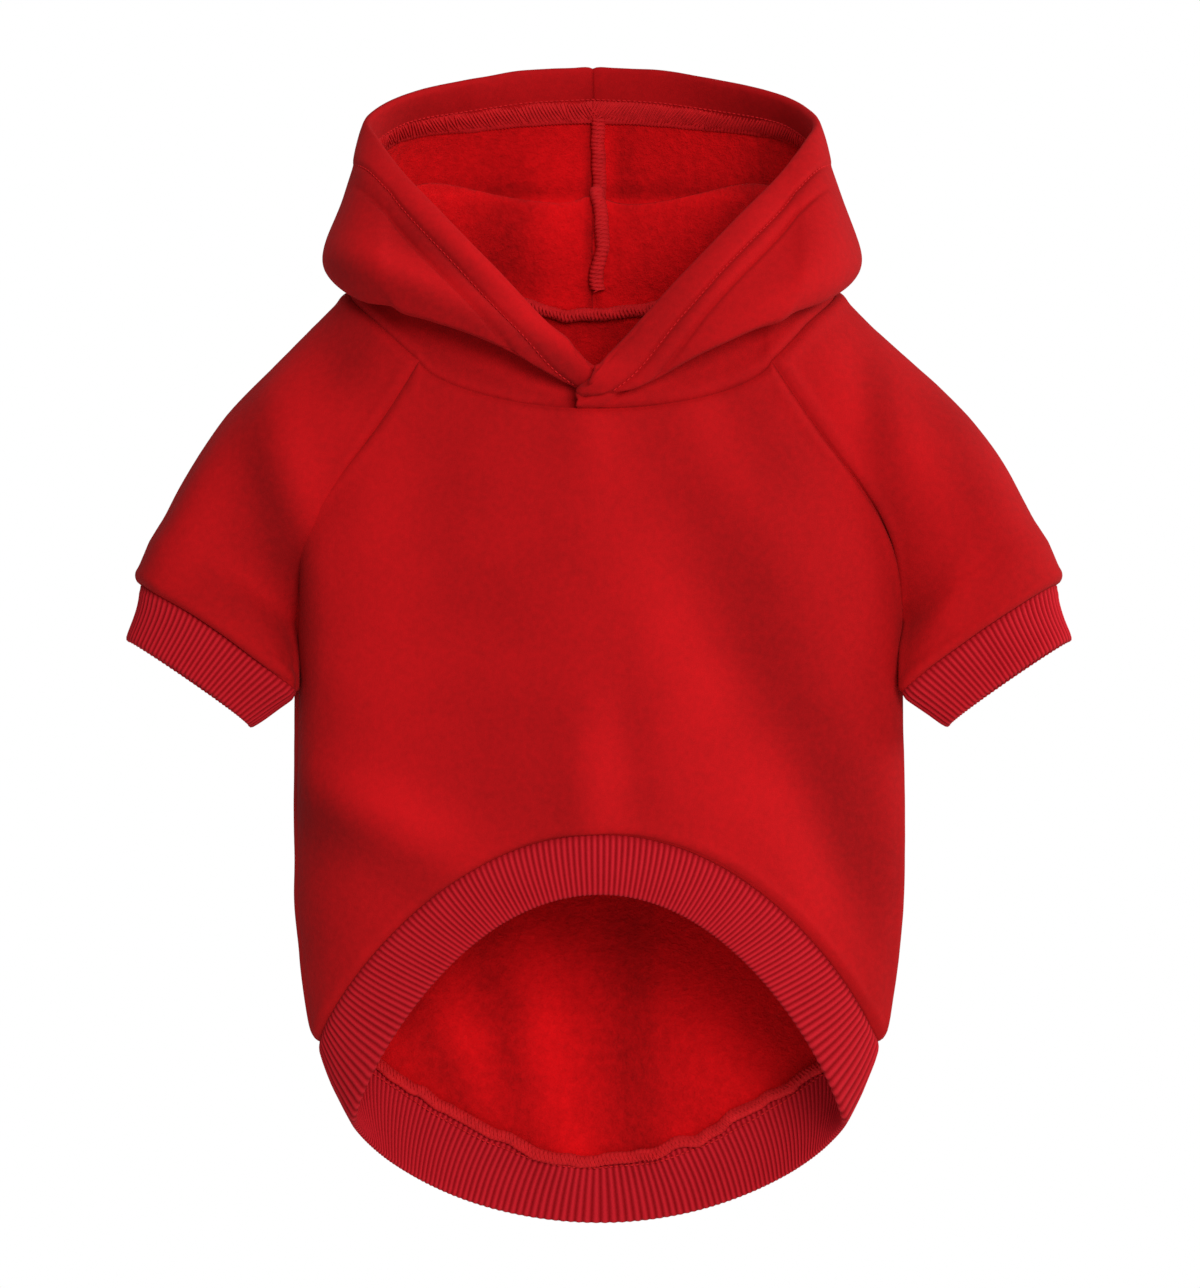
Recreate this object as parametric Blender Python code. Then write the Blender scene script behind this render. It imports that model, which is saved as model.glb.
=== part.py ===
"""Dog hoodie: raglan sweatshirt for a small dog with a slumped two-panel hood.

Metres, +Z up towards the hood, the belly side faces -Y. The origin is the middle of
the neck opening. Every surface is the middle of its cloth.
"""
import bpy
import bmesh
import numpy as np

# Driving sizes
HALF_WIDTH = 0.1158        # centre to side seam
BELLY_DEPTH = 0.0480       # centre plane to the belly's fullest line
BACK_DEPTH = 0.0455        # centre plane to the back's fullest line
SIDE_LENGTH = 0.2744       # neck centre down to the hem seam at the side
BELLY_LENGTH = 0.1928      # neck centre down to the hem seam on the belly
BACK_LENGTH = 0.3240       # neck centre down to the hem seam on the back
BAND_WIDTH = 0.0252        # ribbed hem band, seam to lower edge at the back
NECK_HALF_WIDTH = 0.0932   # neck opening, centre to shoulder
SLEEVE_REACH = 0.1459      # centre to the middle of the sleeve hem
SLEEVE_DROP = 0.1193       # neck centre down to the middle of the sleeve hem
SLEEVE_HALF = 0.0361       # half of the sleeve hem's long way
SLEEVE_DEPTH = 0.0190      # half of the sleeve hem's short way
SLEEVE_BULGE = 0.0046      # how far the shoulder line stands off its chord
ARM_RIDGE_OUT = 0.0516     # armpit to the sleeve's ridge at armpit level, sideways
ARM_RIDGE_UP = 0.0378      # the same, upwards
ARM_DEPTH = 0.0225         # half of the sleeve's short way at armpit level
SLEEVE_FORWARD = 0.0040    # the sleeve hem's middle in front of the centre plane
UNDER_FORWARD = 0.0100     # how far the sleeve hem's under side comes further forward
HEM_DIP = 0.0030           # how far the sleeve hem's front edge lies above its plane
SLEEVE_LIP = 0.0026        # how far the sleeve stands off the straight way to its hem
CUFF_LENGTH = 0.0206
CUFF_HALF = 0.0280
CUFF_FORWARD = 0.0050      # the cuff's lower ring in front of the centre plane
CUFF_UNDER_FORWARD = 0.0040
CUFF_DIP = 0.0026          # how far the cuff's front edge lies above its plane
CUFF_WAIST = 0.0018        # how far the cuff draws in below its seam on the outer side
BAND_TAPER = 0.0128        # how far the band draws in at each side over its width
BAND_SWELL = 0.0012        # how far the band bows outwards half way down
DENT_DEPTH = 0.0032        # deepest dent of the panels; the dents are shares of it
LEAN = 0.0025              # how far the body hangs to one side of the neck
LEAN_FALL = 0.0260         # drop over which most of that lean comes in
HOOD_HEIGHT = 0.1093       # neck centre to the rim's top
HOOD_HALF_WIDTH = 0.0877   # centre to the rim's side corner
HOOD_DEPTH = 0.0700        # centre plane to the rim's back
FOLD = 0.0100              # unit of the hood's roll: offsets in HOOD_ROLL are shares of it
CLOTH = 0.0020
RIB_CLOTH = 0.0025
RIM_CLOTH = 0.0034
LAP = 0.0054               # how far the left hood half tucks in behind the right
GAP = 0.0003

# Cells: across a panel, up the side seam, up the raglan seam, along the neck on a sleeve
ACROSS = 20
SIDE_ROWS = 9
RAGLAN_ROWS = 9
NECK_CELLS = 6
BAND_ROWS = 2
CUFF_ROWS = 3
SPLIT = 4                  # sleeve columns to each neck cell
ROLL_ROWS = (2, 3, 3, 2, 4, 2, 4)

# drop: share of SIDE_LENGTH, wide: share of HALF_WIDTH
SIDE_SEAM = (
    (0.00, 1.000, 0.925),
    (0.03, 0.984, 0.948),
    (0.10, 0.948, 0.964),
    (0.22, 0.878, 0.986),
    (0.38, 0.780, 1.001),
    (0.55, 0.680, 1.000),
    (0.75, 0.560, 0.997),
    (1.00, 0.401, 1.000),
)
# wide: share of HALF_WIDTH, drop: share of SIDE_LENGTH, from armpit to neck corner
BELLY_RAGLAN = (
    (0.00, 1.000, 0.401),
    (0.12, 0.995, 0.354),
    (0.25, 0.977, 0.313),
    (0.40, 0.934, 0.270),
    (0.57, 0.855, 0.220),
    (0.74, 0.747, 0.161),
    (0.88, 0.651, 0.103),
    (1.00, 0.573, 0.052),
)
BACK_RAGLAN = (
    (0.00, 1.000, 0.401),
    (0.14, 0.990, 0.342),
    (0.30, 0.958, 0.278),
    (0.46, 0.900, 0.206),
    (0.62, 0.824, 0.134),
    (0.78, 0.720, 0.060),
    (0.90, 0.620, -0.010),
    (1.00, 0.520, -0.066),
)
# up: 0 at the hem seam, 1 at the neck; drop: share of the panel's length at the
# centre; deep: share of the panel's depth; arch: power of the cosine across the row
BELLY_ROWS = (
    (0.00, 1.000, 0.915, 1.66),
    (0.03, 0.985, 0.945, 1.66),
    (0.20, 0.850, 0.985, 1.60),
    (0.50, 0.545, 1.020, 1.30),
    (0.80, 0.315, 0.985, 0.95),
    (1.00, 0.169, 0.905, 0.62),
)
BACK_ROWS = (
    (0.00, 1.000, 0.930, 2.60),
    (0.03, 0.988, 0.955, 2.45),
    (0.25, 0.735, 0.985, 1.80),
    (0.50, 0.435, 1.010, 1.30),
    (0.80, 0.165, 0.980, 1.20),
    (1.00, -0.028, 0.895, 1.50),
)
# Soft dents pushed into the panels: across -1..1, up 0..1, half sizes, share of DENT_DEPTH
BELLY_DENTS = (
    (-0.62, 0.28, 0.22, 0.16, 0.94),
    (0.66, 0.26, 0.20, 0.18, 1.00),
    (-0.25, 0.52, 0.14, 0.30, 0.56),
    (0.30, 0.40, 0.16, 0.26, 0.50),
    (0.02, 0.78, 0.30, 0.12, 0.44),
)
BACK_DENTS = (
    (-0.45, 0.30, 0.16, 0.30, 0.69),
    (0.40, 0.34, 0.18, 0.30, 0.75),
    (0.00, 0.62, 0.30, 0.16, 0.50),
)
# Lower edge of the hem band against its seam, in turns of the half ring: how far each rib
# leans so that it stands square to the seam, and the power that places the most of it
BAND_LEAN = (
    (0.0583, 1.60),
    (-0.0667, 0.85),
)
# The neck seam over a sleeve: x share of NECK_HALF_WIDTH, y share of BELLY_DEPTH or
# BACK_DEPTH, z share of HOOD_HEIGHT; both ends are the panels' own corners
NECK_SIDE = (
    (0.25, 0.868, -0.520, 0.000),
    (0.50, 1.000, 0.000, 0.124),
    (0.75, 0.868, 0.530, 0.174),
)
# Sleeve from the neck (0) to the armpit (1): ridge, front and back stand-off from the
# straight way, shares of SLEEVE_BULGE
CAP_ROWS = (
    (0.00, 0.00, 0.00, 0.00),
    (0.15, 0.24, 0.28, 0.30),
    (0.35, 0.62, 0.62, 0.66),
    (0.58, 0.96, 0.72, 0.80),
    (0.80, 0.66, 0.46, 0.50),
    (1.00, 0.00, 0.00, 0.00),
)
# Sleeve from the armpit (0) to the hem seam (1): share of the way, stand-off all
# round and stand-off under the arm, shares of SLEEVE_LIP
TUBE_ROWS = (
    (0.16, 0.26, 0.95),
    (0.50, 0.78, 0.60),
    (0.86, 1.00, 0.25),
    (1.00, 0.00, 0.00),
)
# Hood roll at share s from the throat to the centre back, offsets in shares of FOLD
# from the neck seam: out and up of the crest, the lip, the bulge and the upper wall
HOOD_ROLL = (
    (0.000, 0.25, 0.50, 0.00, 0.40, 0.70, 0.52, 0.90, 0.62, 1.12),
    (0.100, 0.15, 0.95, 0.08, 0.50, 0.62, 0.72, 1.20, 0.72, 2.00),
    (0.200, 0.00, 1.50, 0.20, 0.62, 0.88, 0.92, 1.75, 0.62, 3.10),
    (0.300, -0.05, 1.90, 0.26, 0.70, 1.10, 1.06, 2.25, 0.34, 4.40),
    (0.400, -0.20, 2.10, 0.28, 0.70, 1.22, 1.22, 2.60, -0.15, 5.20),
    (0.455, -0.50, 2.00, 0.30, 0.58, 0.80, 1.22, 2.10, -0.02, 4.70),
    (0.510, -0.72, 2.30, 0.30, 0.20, 0.42, 1.05, 1.30, 0.12, 3.70),
    (0.565, -0.62, 3.70, 0.32, 0.70, 0.15, 1.75, 2.00, 1.55, 4.40),
    (0.620, -0.45, 4.40, 0.35, 1.40, 0.00, 2.75, 2.80, 2.60, 5.60),
    (0.800, -0.30, 4.38, 0.35, 2.20, 0.00, 3.50, 3.60, 3.30, 6.80),
    (1.000, -0.20, 4.60, 0.35, 2.50, 0.20, 3.80, 4.00, 3.60, 7.50),
)
# Hood rim: x, y, z as shares of HOOD_HALF_WIDTH, HOOD_DEPTH and HOOD_HEIGHT
HOOD_RIM = (
    (0.000, 0.012, -0.720, -0.150),
    (0.100, 0.152, -0.690, -0.042),
    (0.200, 0.373, -0.590, 0.152),
    (0.300, 0.642, -0.390, 0.380),
    (0.380, 0.832, -0.190, 0.548),
    (0.440, 0.932, -0.010, 0.662),
    (0.510, 0.992, 0.190, 0.750),
    (0.565, 0.930, 0.400, 0.816),
    (0.640, 0.790, 0.600, 0.880),
    (0.750, 0.555, 0.800, 0.940),
    (0.870, 0.290, 0.945, 0.985),
    (1.000, 0.000, 1.000, 1.000),
)
THROAT = 0.40
NAPE = 0.62
THROAT_LAP = 0.1           # each hood half's reach past the centre, share of the belly's neck row

MATERIALS = {
    "jersey": (0.47, 0.012, 0.018, 0.88),
    "rib": (0.50, 0.018, 0.028, 0.90),
}


def clear_objects():
    for item in list(bpy.data.objects):
        bpy.data.objects.remove(item, do_unlink=True)


def unit(vectors):
    length = np.linalg.norm(vectors, axis=-1, keepdims=True)
    return vectors / np.maximum(length, 1e-12)


def along(table, column, share):
    """Shape-keeping cubic through one column of a table, first column the share."""
    x = np.array([row[0] for row in table])
    y = np.array([row[column] for row in table])
    share = np.clip(np.asarray(share, dtype=float), x[0], x[-1])
    step = np.diff(x)
    rise = np.diff(y) / step
    slope = np.zeros(len(x))
    slope[0] = rise[0]
    slope[-1] = rise[-1]
    for i in range(1, len(x) - 1):
        if rise[i - 1] * rise[i] > 0:
            w1 = 2 * step[i] + step[i - 1]
            w2 = step[i] + 2 * step[i - 1]
            slope[i] = (w1 + w2) / (w1 / rise[i - 1] + w2 / rise[i])
    k = np.clip(np.searchsorted(x, share, side="right") - 1, 0, len(x) - 2)
    t = (share - x[k]) / step[k]
    h00 = 2 * t ** 3 - 3 * t ** 2 + 1
    h10 = t ** 3 - 2 * t ** 2 + t
    h01 = 3 * t ** 2 - 2 * t ** 3
    h11 = t ** 3 - t ** 2
    return h00 * y[k] + h10 * step[k] * slope[k] + h01 * y[k + 1] + h11 * step[k] * slope[k + 1]


def through(points, rows):
    """Centripetal spline through stacked curves (k, n, 3), rows cells in each leg."""
    points = np.asarray(points, dtype=float)
    knots = np.sqrt(np.maximum(np.linalg.norm(np.diff(points, axis=0), axis=-1, keepdims=True), 1e-9))
    slope = np.zeros_like(points)
    for i in range(1, len(points) - 1):
        before = knots[i - 1]
        after = knots[i]
        slope[i] = ((points[i + 1] - points[i]) / after
                    - (points[i + 1] - points[i - 1]) / (before + after)
                    + (points[i] - points[i - 1]) / before)
    slope[0] = (points[1] - points[0]) / knots[0]
    slope[-1] = (points[-1] - points[-2]) / knots[-1]
    out = [points[0]]
    for i, cells in enumerate(rows):
        for j in range(1, cells + 1):
            t = j / cells
            out.append((2 * t ** 3 - 3 * t ** 2 + 1) * points[i]
                       + (t ** 3 - 2 * t ** 2 + t) * knots[i] * slope[i]
                       + (3 * t ** 2 - 2 * t ** 3) * points[i + 1]
                       + (t ** 3 - t ** 2) * knots[i] * slope[i + 1])
    return np.array(out)


def panel_row(up, across, belly):
    """Points of one panel row: up 0..1 with the armpit at its share, across -1..1."""
    share_pit = SIDE_ROWS / (SIDE_ROWS + RAGLAN_ROWS)
    table = BELLY_ROWS if belly else BACK_ROWS
    length = BELLY_LENGTH if belly else BACK_LENGTH
    depth = (BELLY_DEPTH if belly else BACK_DEPTH) * along(table, 2, up)
    if up <= share_pit:
        t = up / share_pit
        edge_x = HALF_WIDTH * along(SIDE_SEAM, 2, t)
        edge_z = -SIDE_LENGTH * along(SIDE_SEAM, 1, t)
        reach = edge_x
        angle = np.pi / 2
    else:
        t = (up - share_pit) / (1 - share_pit)
        seam = BELLY_RAGLAN if belly else BACK_RAGLAN
        edge_x = HALF_WIDTH * along(seam, 1, t)
        edge_z = -SIDE_LENGTH * along(seam, 2, t)
        reach = HALF_WIDTH
        angle = np.arcsin(min(edge_x / HALF_WIDTH, 1.0))
    mid_z = -length * along(table, 1, up)
    power = along(table, 3, up)
    across = np.asarray(across, dtype=float)
    x = reach * np.sin(angle * across)
    y = depth * np.cos(angle * across)
    arch = np.maximum(np.cos(np.pi / 2 * np.abs(across)), 0.0) ** power
    z = edge_z + (mid_z - edge_z) * arch
    side = -1.0 if belly else 1.0
    return np.stack([x, side * y, z], axis=-1)


def panel_grid(belly, dents):
    rows = SIDE_ROWS + RAGLAN_ROWS
    across = np.linspace(-1, 1, ACROSS + 1)
    grid = np.array([panel_row(i / rows, across, belly) for i in range(rows + 1)])
    up = np.linspace(0, 1, rows + 1)[:, None]
    edge = np.clip((1 - np.abs(across)) / 0.15, 0, 1) * np.clip(up / 0.10, 0, 1) * np.clip((1 - up) / 0.10, 0, 1)
    push = np.zeros((rows + 1, ACROSS + 1))
    for at, high, wide, tall, deep in dents:
        push += DENT_DEPTH * deep * np.exp(-((across - at) / wide) ** 2 - ((up - high) / tall) ** 2)
    side = 1.0 if belly else -1.0
    grid[:, :, 1] += side * push * edge
    return grid if belly else grid[:, ::-1]


def neck_side():
    """The neck seam over the right sleeve, from belly corner to back corner."""
    front = panel_row(1.0, [1.0], True)[0]
    back = panel_row(1.0, [1.0], False)[0]
    points = [front]
    for share, wide, deep, high in NECK_SIDE:
        depth = BELLY_DEPTH if deep < 0 else BACK_DEPTH
        points.append(np.array([wide * NECK_HALF_WIDTH, deep * depth, high * HOOD_HEIGHT]))
    points.append(back)
    return np.array(points)


def neck_arc(shares):
    points = neck_side()
    inner_front = panel_row(1.0, [0.8], True)[0]
    inner_back = panel_row(1.0, [0.8], False)[0]
    stack = np.concatenate([[inner_front], points, [inner_back]])[:, None, :]
    fine = 24
    curve = through(stack, [fine] * (len(stack) - 1))[:, 0]
    curve = curve[fine:-fine]
    at = np.asarray(shares) * (len(curve) - 1)
    return np.stack([np.interp(at, np.arange(len(curve)), curve[:, i]) for i in range(3)], axis=-1)


def raglan(belly):
    rows = SIDE_ROWS + RAGLAN_ROWS
    return np.array([panel_row(i / rows, [1.0], belly)[0] for i in range(SIDE_ROWS, rows + 1)])


def ring_turns():
    """Turn of each sleeve column: 0 under the arm, a quarter in front, a half on the ridge."""
    cells = NECK_CELLS * SPLIT
    return np.arange(cells + 1) / cells * 2 * np.pi


def sleeve_axes():
    along_hem = unit(np.array([0.823, 0.0, 0.568]))
    outward = unit(np.array([0.568, 0.0, -0.823]))
    return along_hem, outward


def sleeve_hem(turns):
    along_hem, outward = sleeve_axes()
    middle = np.array([SLEEVE_REACH, -SLEEVE_FORWARD, -SLEEVE_DROP])
    long_way = -np.cos(turns)[:, None]
    short_way = np.sin(turns)[:, None]
    under = np.maximum(-long_way, 0.0)
    points = middle + along_hem * long_way * SLEEVE_HALF
    points = points + np.array([0.0, -1.0, 0.0]) * short_way * SLEEVE_DEPTH
    points = points - np.array([0.0, UNDER_FORWARD, 0.0]) * under ** 2
    return points - outward * HEM_DIP * np.maximum(short_way, 0.0)


def arm_ring(turns):
    """Ring of the right sleeve at armpit level, starting and ending at the armpit."""
    pit = panel_row(SIDE_ROWS / (SIDE_ROWS + RAGLAN_ROWS), [1.0], True)[0]
    across = np.array([ARM_RIDGE_OUT, 0.0, ARM_RIDGE_UP])
    long_way = (((1 - np.cos(turns)) * 0.5) ** 0.68)[:, None]
    short_way = np.sin(turns)[:, None]
    return pit + across * long_way + np.array([0.0, -ARM_DEPTH, 0.0]) * short_way


def sleeve_grid():
    """Right sleeve: rows from the neck to the hem, columns from the belly seam to the back seam."""
    front = raglan(True)[::-1]
    back = raglan(False)[::-1]
    coarse = neck_arc(np.linspace(0, 1, NECK_CELLS + 1))
    cells = NECK_CELLS * SPLIT
    at = np.arange(cells + 1) / SPLIT
    arc = np.stack([np.interp(at, np.arange(NECK_CELLS + 1), coarse[:, i]) for i in range(3)], axis=-1)
    turns = ring_turns()
    arm = arm_ring(turns)
    share = np.arange(cells + 1) / cells
    near_front = ((1 - share) ** 3)[:, None]
    near_back = (share ** 3)[:, None]
    out_and_up = unit(np.array([ARM_RIDGE_OUT, 0.0, ARM_RIDGE_UP]))
    forward = np.array([0.0, -1.0, 0.0])
    rows = []
    for i in range(RAGLAN_ROWS + 1):
        r = i / RAGLAN_ROWS
        row = (1 - r) * arc + r * arm
        row = row + near_front * (front[i] - row[0]) + near_back * (back[i] - row[-1])
        ridge, face, rear = [SLEEVE_BULGE * along(CAP_ROWS, c, r) for c in (1, 2, 3)]
        swell = np.sin(np.pi * share)[:, None]
        row = row + out_and_up * ridge * np.maximum(-np.cos(turns), 0)[:, None]
        row = row + forward * face * np.maximum(np.sin(turns), 0)[:, None] * swell
        row = row - forward * rear * np.maximum(-np.sin(turns), 0)[:, None] * swell
        rows.append(row)
    end = sleeve_hem(turns)
    long_way = -np.cos(turns)[:, None]
    short_way = np.sin(turns)[:, None]
    away = sleeve_axes()[0] * np.maximum(long_way, 0.0) + forward * short_way
    under = np.array([1.0, 0.0, 0.0]) * np.maximum(-long_way, 0.0) ** 2
    for way, stand, off in TUBE_ROWS:
        rows.append((1 - way) * arm + way * end + (away * stand + under * off) * SLEEVE_LIP)
    return np.array(rows)


def cuff_grid():
    turns = ring_turns()
    start = sleeve_hem(turns)
    along_hem, outward = sleeve_axes()
    long_way = -np.cos(turns)[:, None]
    short_way = np.sin(turns)[:, None]
    under = np.maximum(-long_way, 0.0)
    middle = np.array([SLEEVE_REACH, -CUFF_FORWARD, -SLEEVE_DROP]) + outward * CUFF_LENGTH
    end = middle + along_hem * long_way * CUFF_HALF
    end = end + np.array([0.0, -1.0, 0.0]) * short_way * SLEEVE_DEPTH * 0.86
    end = end - np.array([0.0, CUFF_UNDER_FORWARD, 0.0]) * under ** 2
    end = end - outward * CUFF_DIP * np.maximum(short_way, 0.0)
    waist = along_hem * np.maximum(long_way, 0.0) * CUFF_WAIST
    shares = np.linspace(0, 1, CUFF_ROWS + 1)
    return np.array([(1 - s) * start + s * end - waist * np.sin(np.pi * s ** 0.6) for s in shares])


def band_turn(turn):
    """Turn of the band's lower edge below each turn of the hem seam, 0 at the belly centre."""
    half = np.pi / 2
    out = np.minimum(np.abs(turn), 2 * np.pi - np.abs(turn))
    belly, back = [lean * np.pi * np.sin(np.pi * np.clip(x, 0, 1) ** power)
                   for x, (lean, power) in zip((out / half, (np.pi - out) / half), BAND_LEAN)]
    low = np.where(out <= half, out - belly, out + back)
    return np.where(turn > np.pi, 2 * np.pi - low, np.sign(turn) * low)


def band_grid():
    """Hem band: the top ring is the hem seam, columns round from the left side over the belly."""
    across = np.linspace(-1, 1, ACROSS + 1)
    belly = panel_row(0.0, across, True)
    back = panel_row(0.0, across[::-1], False)
    top = np.concatenate([belly, back[1:]])
    turn = np.concatenate([across * np.pi / 2, np.pi / 2 + (1 - across[::-1][1:]) * np.pi / 2])
    turn = band_turn(turn)
    wide = HALF_WIDTH * SIDE_SEAM[0][2] - BAND_TAPER
    edge_z = -SIDE_LENGTH - BAND_WIDTH * 1.24
    belly_z = -BELLY_LENGTH - BAND_WIDTH * 0.90
    back_z = -BACK_LENGTH - BAND_WIDTH
    c = np.cos(turn)
    fore = np.maximum(c, 0) ** 1.64
    rear = np.maximum(-c, 0) ** 1.38
    z = edge_z + (belly_z - edge_z) * fore + (back_z - edge_z) * rear
    y = np.where(c > 0, -BELLY_DEPTH * 0.885 * c, -BACK_DEPTH * 0.93 * c)
    low = np.stack([wide * np.sin(turn), y, z], axis=-1)
    rings = []
    for i in range(BAND_ROWS + 1):
        s = i / BAND_ROWS
        ring = (1 - s) * top + s * low
        swell = BAND_SWELL * np.sin(np.pi * s)
        ring = ring + unit(ring * np.array([1.0, 1.0, 0.0])) * swell
        rings.append(ring)
    return np.array(rings)


def hood_neck(shares):
    """Neck seam of the right hood half at shares s, from past the throat to the nape."""
    points = []
    for s in shares:
        if s <= THROAT:
            across = -THROAT_LAP + (1 + THROAT_LAP) * s / THROAT
            points.append(panel_row(1.0, [across], True)[0])
        elif s < NAPE:
            points.append(neck_arc([(s - THROAT) / (NAPE - THROAT)])[0])
        else:
            points.append(panel_row(1.0, [(1 - s) / (1 - NAPE)], False)[0])
    return np.array(points)


def hood_shares():
    front_cells = ACROSS // 2 + 1
    front = np.linspace(0, THROAT, front_cells + 1)
    over = np.linspace(THROAT, NAPE, NECK_CELLS + 1)[1:]
    back = np.linspace(NAPE, 1, ACROSS // 2 + 1)[1:]
    return np.concatenate([front, over, back])


def hood_grid(tuck):
    """Right hood half, rows from the neck seam over the roll to the rim."""
    shares = hood_shares()
    neck = hood_neck(shares)
    depth = np.where(neck[:, 1] < 0, BELLY_DEPTH * 0.905, BACK_DEPTH * 0.895)
    facing = unit(np.stack([neck[:, 0] / NECK_HALF_WIDTH ** 2, neck[:, 1] / depth ** 2, 0 * shares], axis=-1))
    rim = np.stack([HOOD_HALF_WIDTH * along(HOOD_RIM, 1, shares),
                    HOOD_DEPTH * along(HOOD_RIM, 2, shares),
                    HOOD_HEIGHT * along(HOOD_RIM, 3, shares)], axis=-1)
    names = ("crest_out", "crest_up", "half", "lip_out", "lip_up", "bulge_out", "bulge_up", "wall_out", "wall_up")
    roll = {name: FOLD * along(HOOD_ROLL, i + 1, shares) for i, name in enumerate(names)}
    flat = (rim - neck) * np.array([1.0, 1.0, 0.0])
    drift = flat - facing * np.sum(flat * facing, axis=-1, keepdims=True)

    def place(out, up, lead):
        return neck + facing * out[:, None] + np.array([0.0, 0.0, 1.0]) * up[:, None] + drift * lead

    half = roll["half"]
    legs = [
        neck,
        place(roll["crest_out"] - half, roll["crest_up"] * 0.55, 0.06),
        place(roll["crest_out"], roll["crest_up"], 0.12),
        place(roll["crest_out"] + half, 0.5 * roll["crest_up"] + 0.5 * roll["lip_up"], 0.15),
        place(roll["lip_out"], roll["lip_up"], 0.20),
        place(roll["bulge_out"], roll["bulge_up"], 0.40),
        place(roll["wall_out"], roll["wall_up"], 0.72),
        rim,
    ]
    grid = through(legs, ROLL_ROWS)
    if tuck:
        fade = np.clip((0.20 - shares) / 0.13, 0, 1)
        fade = fade * fade * (3 - 2 * fade)
        grid[:, :, 1] += tuck * fade
    return grid


def steps_across(grid, closed):
    """Central steps along each row; rows from closed on join their ends."""
    across = np.gradient(grid, axis=1)
    join = (grid[closed:, 1] - grid[closed:, -2]) * 0.5
    across[closed:, 0] = join
    across[closed:, -1] = join
    return across


def steps_up(grid, closed, seam):
    """Central steps up each column; where a seam ends in a ring, one-sided ones."""
    up = np.gradient(grid, axis=0)
    if 0 < closed < len(grid) - 1:
        for j in (0, -1):
            after = grid[closed + 1, j] - grid[closed, j]
            before = grid[closed, j] - grid[closed - 1, j]
            up[closed, j] = before if seam else after
    return up


def normals(grid, closed, turn):
    return unit(np.cross(steps_across(grid, closed), steps_up(grid, closed, False))) * turn


def key(point):
    return tuple(int(round(c * 1e6)) for c in point)


def edge_shift(grid, facing, closed, seams):
    """Move of each seam edge away from its neighbour, within the cloth."""
    shift = np.zeros_like(grid)
    across = steps_across(grid, closed)
    up = steps_up(grid, closed, True)
    sides = {"low": (np.s_[0, :], np.s_[1, :], across), "high": (np.s_[-1, :], np.s_[-2, :], across),
             "first": (np.s_[:closed + 1, 0], np.s_[:closed + 1, 1], up),
             "last": (np.s_[:closed + 1, -1], np.s_[:closed + 1, -2], up)}
    for side in seams:
        edge, inner, tangent = sides[side]
        away = unit(np.cross(tangent[edge], facing[edge]))
        inward = np.sum(away * (grid[inner] - grid[edge]), axis=-1, keepdims=True)
        shift[edge] += away * np.sign(inward) * GAP * 0.58
    return shift


def solid(name, grid, facing, thick, closed, seams, material):
    """Closed solid from a middle surface; rows from closed on join into rings."""
    middle = grid + edge_shift(grid, facing, closed, seams)
    if closed and closed < len(grid):
        middle[closed, 0] = middle[closed, -1] = (middle[closed, 0] + middle[closed, -1]) * 0.5
    half = (np.asarray(thick) * 0.5)[..., None] if np.ndim(thick) else thick * 0.5
    skins = [middle + facing * half, middle - facing * half]
    rows, cols = grid.shape[:2]
    mesh = bpy.data.meshes.new(name)
    bm = bmesh.new()
    verts = []
    for skin in skins:
        layer = []
        for i in range(rows):
            last = cols - 1 if i >= closed else cols
            line = [bm.verts.new(skin[i, j]) for j in range(last)]
            layer.append(line + [line[0]] if i >= closed else line)
        verts.append(layer)
    outer, inner = verts

    def quad(a, b, c, d):
        if (a.co - c.co).length <= (b.co - d.co).length:
            bm.faces.new((a, b, c))
            bm.faces.new((a, c, d))
        else:
            bm.faces.new((a, b, d))
            bm.faces.new((b, c, d))

    def wall(i, j, m, n):
        """Edge wall between two edge points; neighbours pick the same diagonal."""
        first = tuple(round(c, 3) for c in grid[i, j][::-1])
        second = tuple(round(c, 3) for c in grid[m, n][::-1])
        if first < second:
            i, j, m, n = m, n, i, j
        bm.faces.new((outer[i][j], outer[m][n], inner[m][n]))
        bm.faces.new((outer[i][j], inner[m][n], inner[i][j]))

    for j in range(cols - 1):
        for i in range(rows - 1):
            quad(outer[i][j], outer[i][j + 1], outer[i + 1][j + 1], outer[i + 1][j])
            quad(inner[i][j], inner[i + 1][j], inner[i + 1][j + 1], inner[i][j + 1])
        wall(0, j, 0, j + 1)
        wall(rows - 1, j, rows - 1, j + 1)
    for i in range(min(closed, rows - 1)):
        wall(i, 0, i + 1, 0)
        wall(i, cols - 1, i + 1, cols - 1)
    bmesh.ops.recalc_face_normals(bm, faces=bm.faces)
    bm.to_mesh(mesh)
    bm.free()
    for face in mesh.polygons:
        face.use_smooth = True
    mesh.materials.append(material)
    item = bpy.data.objects.new(name, mesh)
    bpy.context.scene.collection.objects.link(item)
    return item


def make_material(name, values):
    material = bpy.data.materials.new(name)
    material.use_nodes = True
    shader = material.node_tree.nodes["Principled BSDF"]
    shader.inputs["Base Color"].default_value = (values[0], values[1], values[2], 1.0)
    shader.inputs["Roughness"].default_value = values[3]
    return material


def edge_points(grid, facing, closed):
    """Each point on an edge of the grid with its own facing, rings counted once."""
    rows, cols = grid.shape[:2]
    for i in range(rows):
        for j in range(cols):
            on_side = j in (0, cols - 1) and i <= closed
            on_end = i in (0, rows - 1)
            if (on_side or on_end) and not (i >= closed and j == cols - 1 and i > closed):
                yield grid[i, j], facing[i, j]


def mirrored(grid):
    return grid * np.array([-1.0, 1.0, 1.0])


def leaned(grid):
    """The body hangs a little to the right of the neck, as the worn garment does."""
    out = grid.copy()
    out[..., 0] += LEAN * (1 - np.exp(np.minimum(grid[..., 2], 0.0) / LEAN_FALL))
    return out


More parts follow.
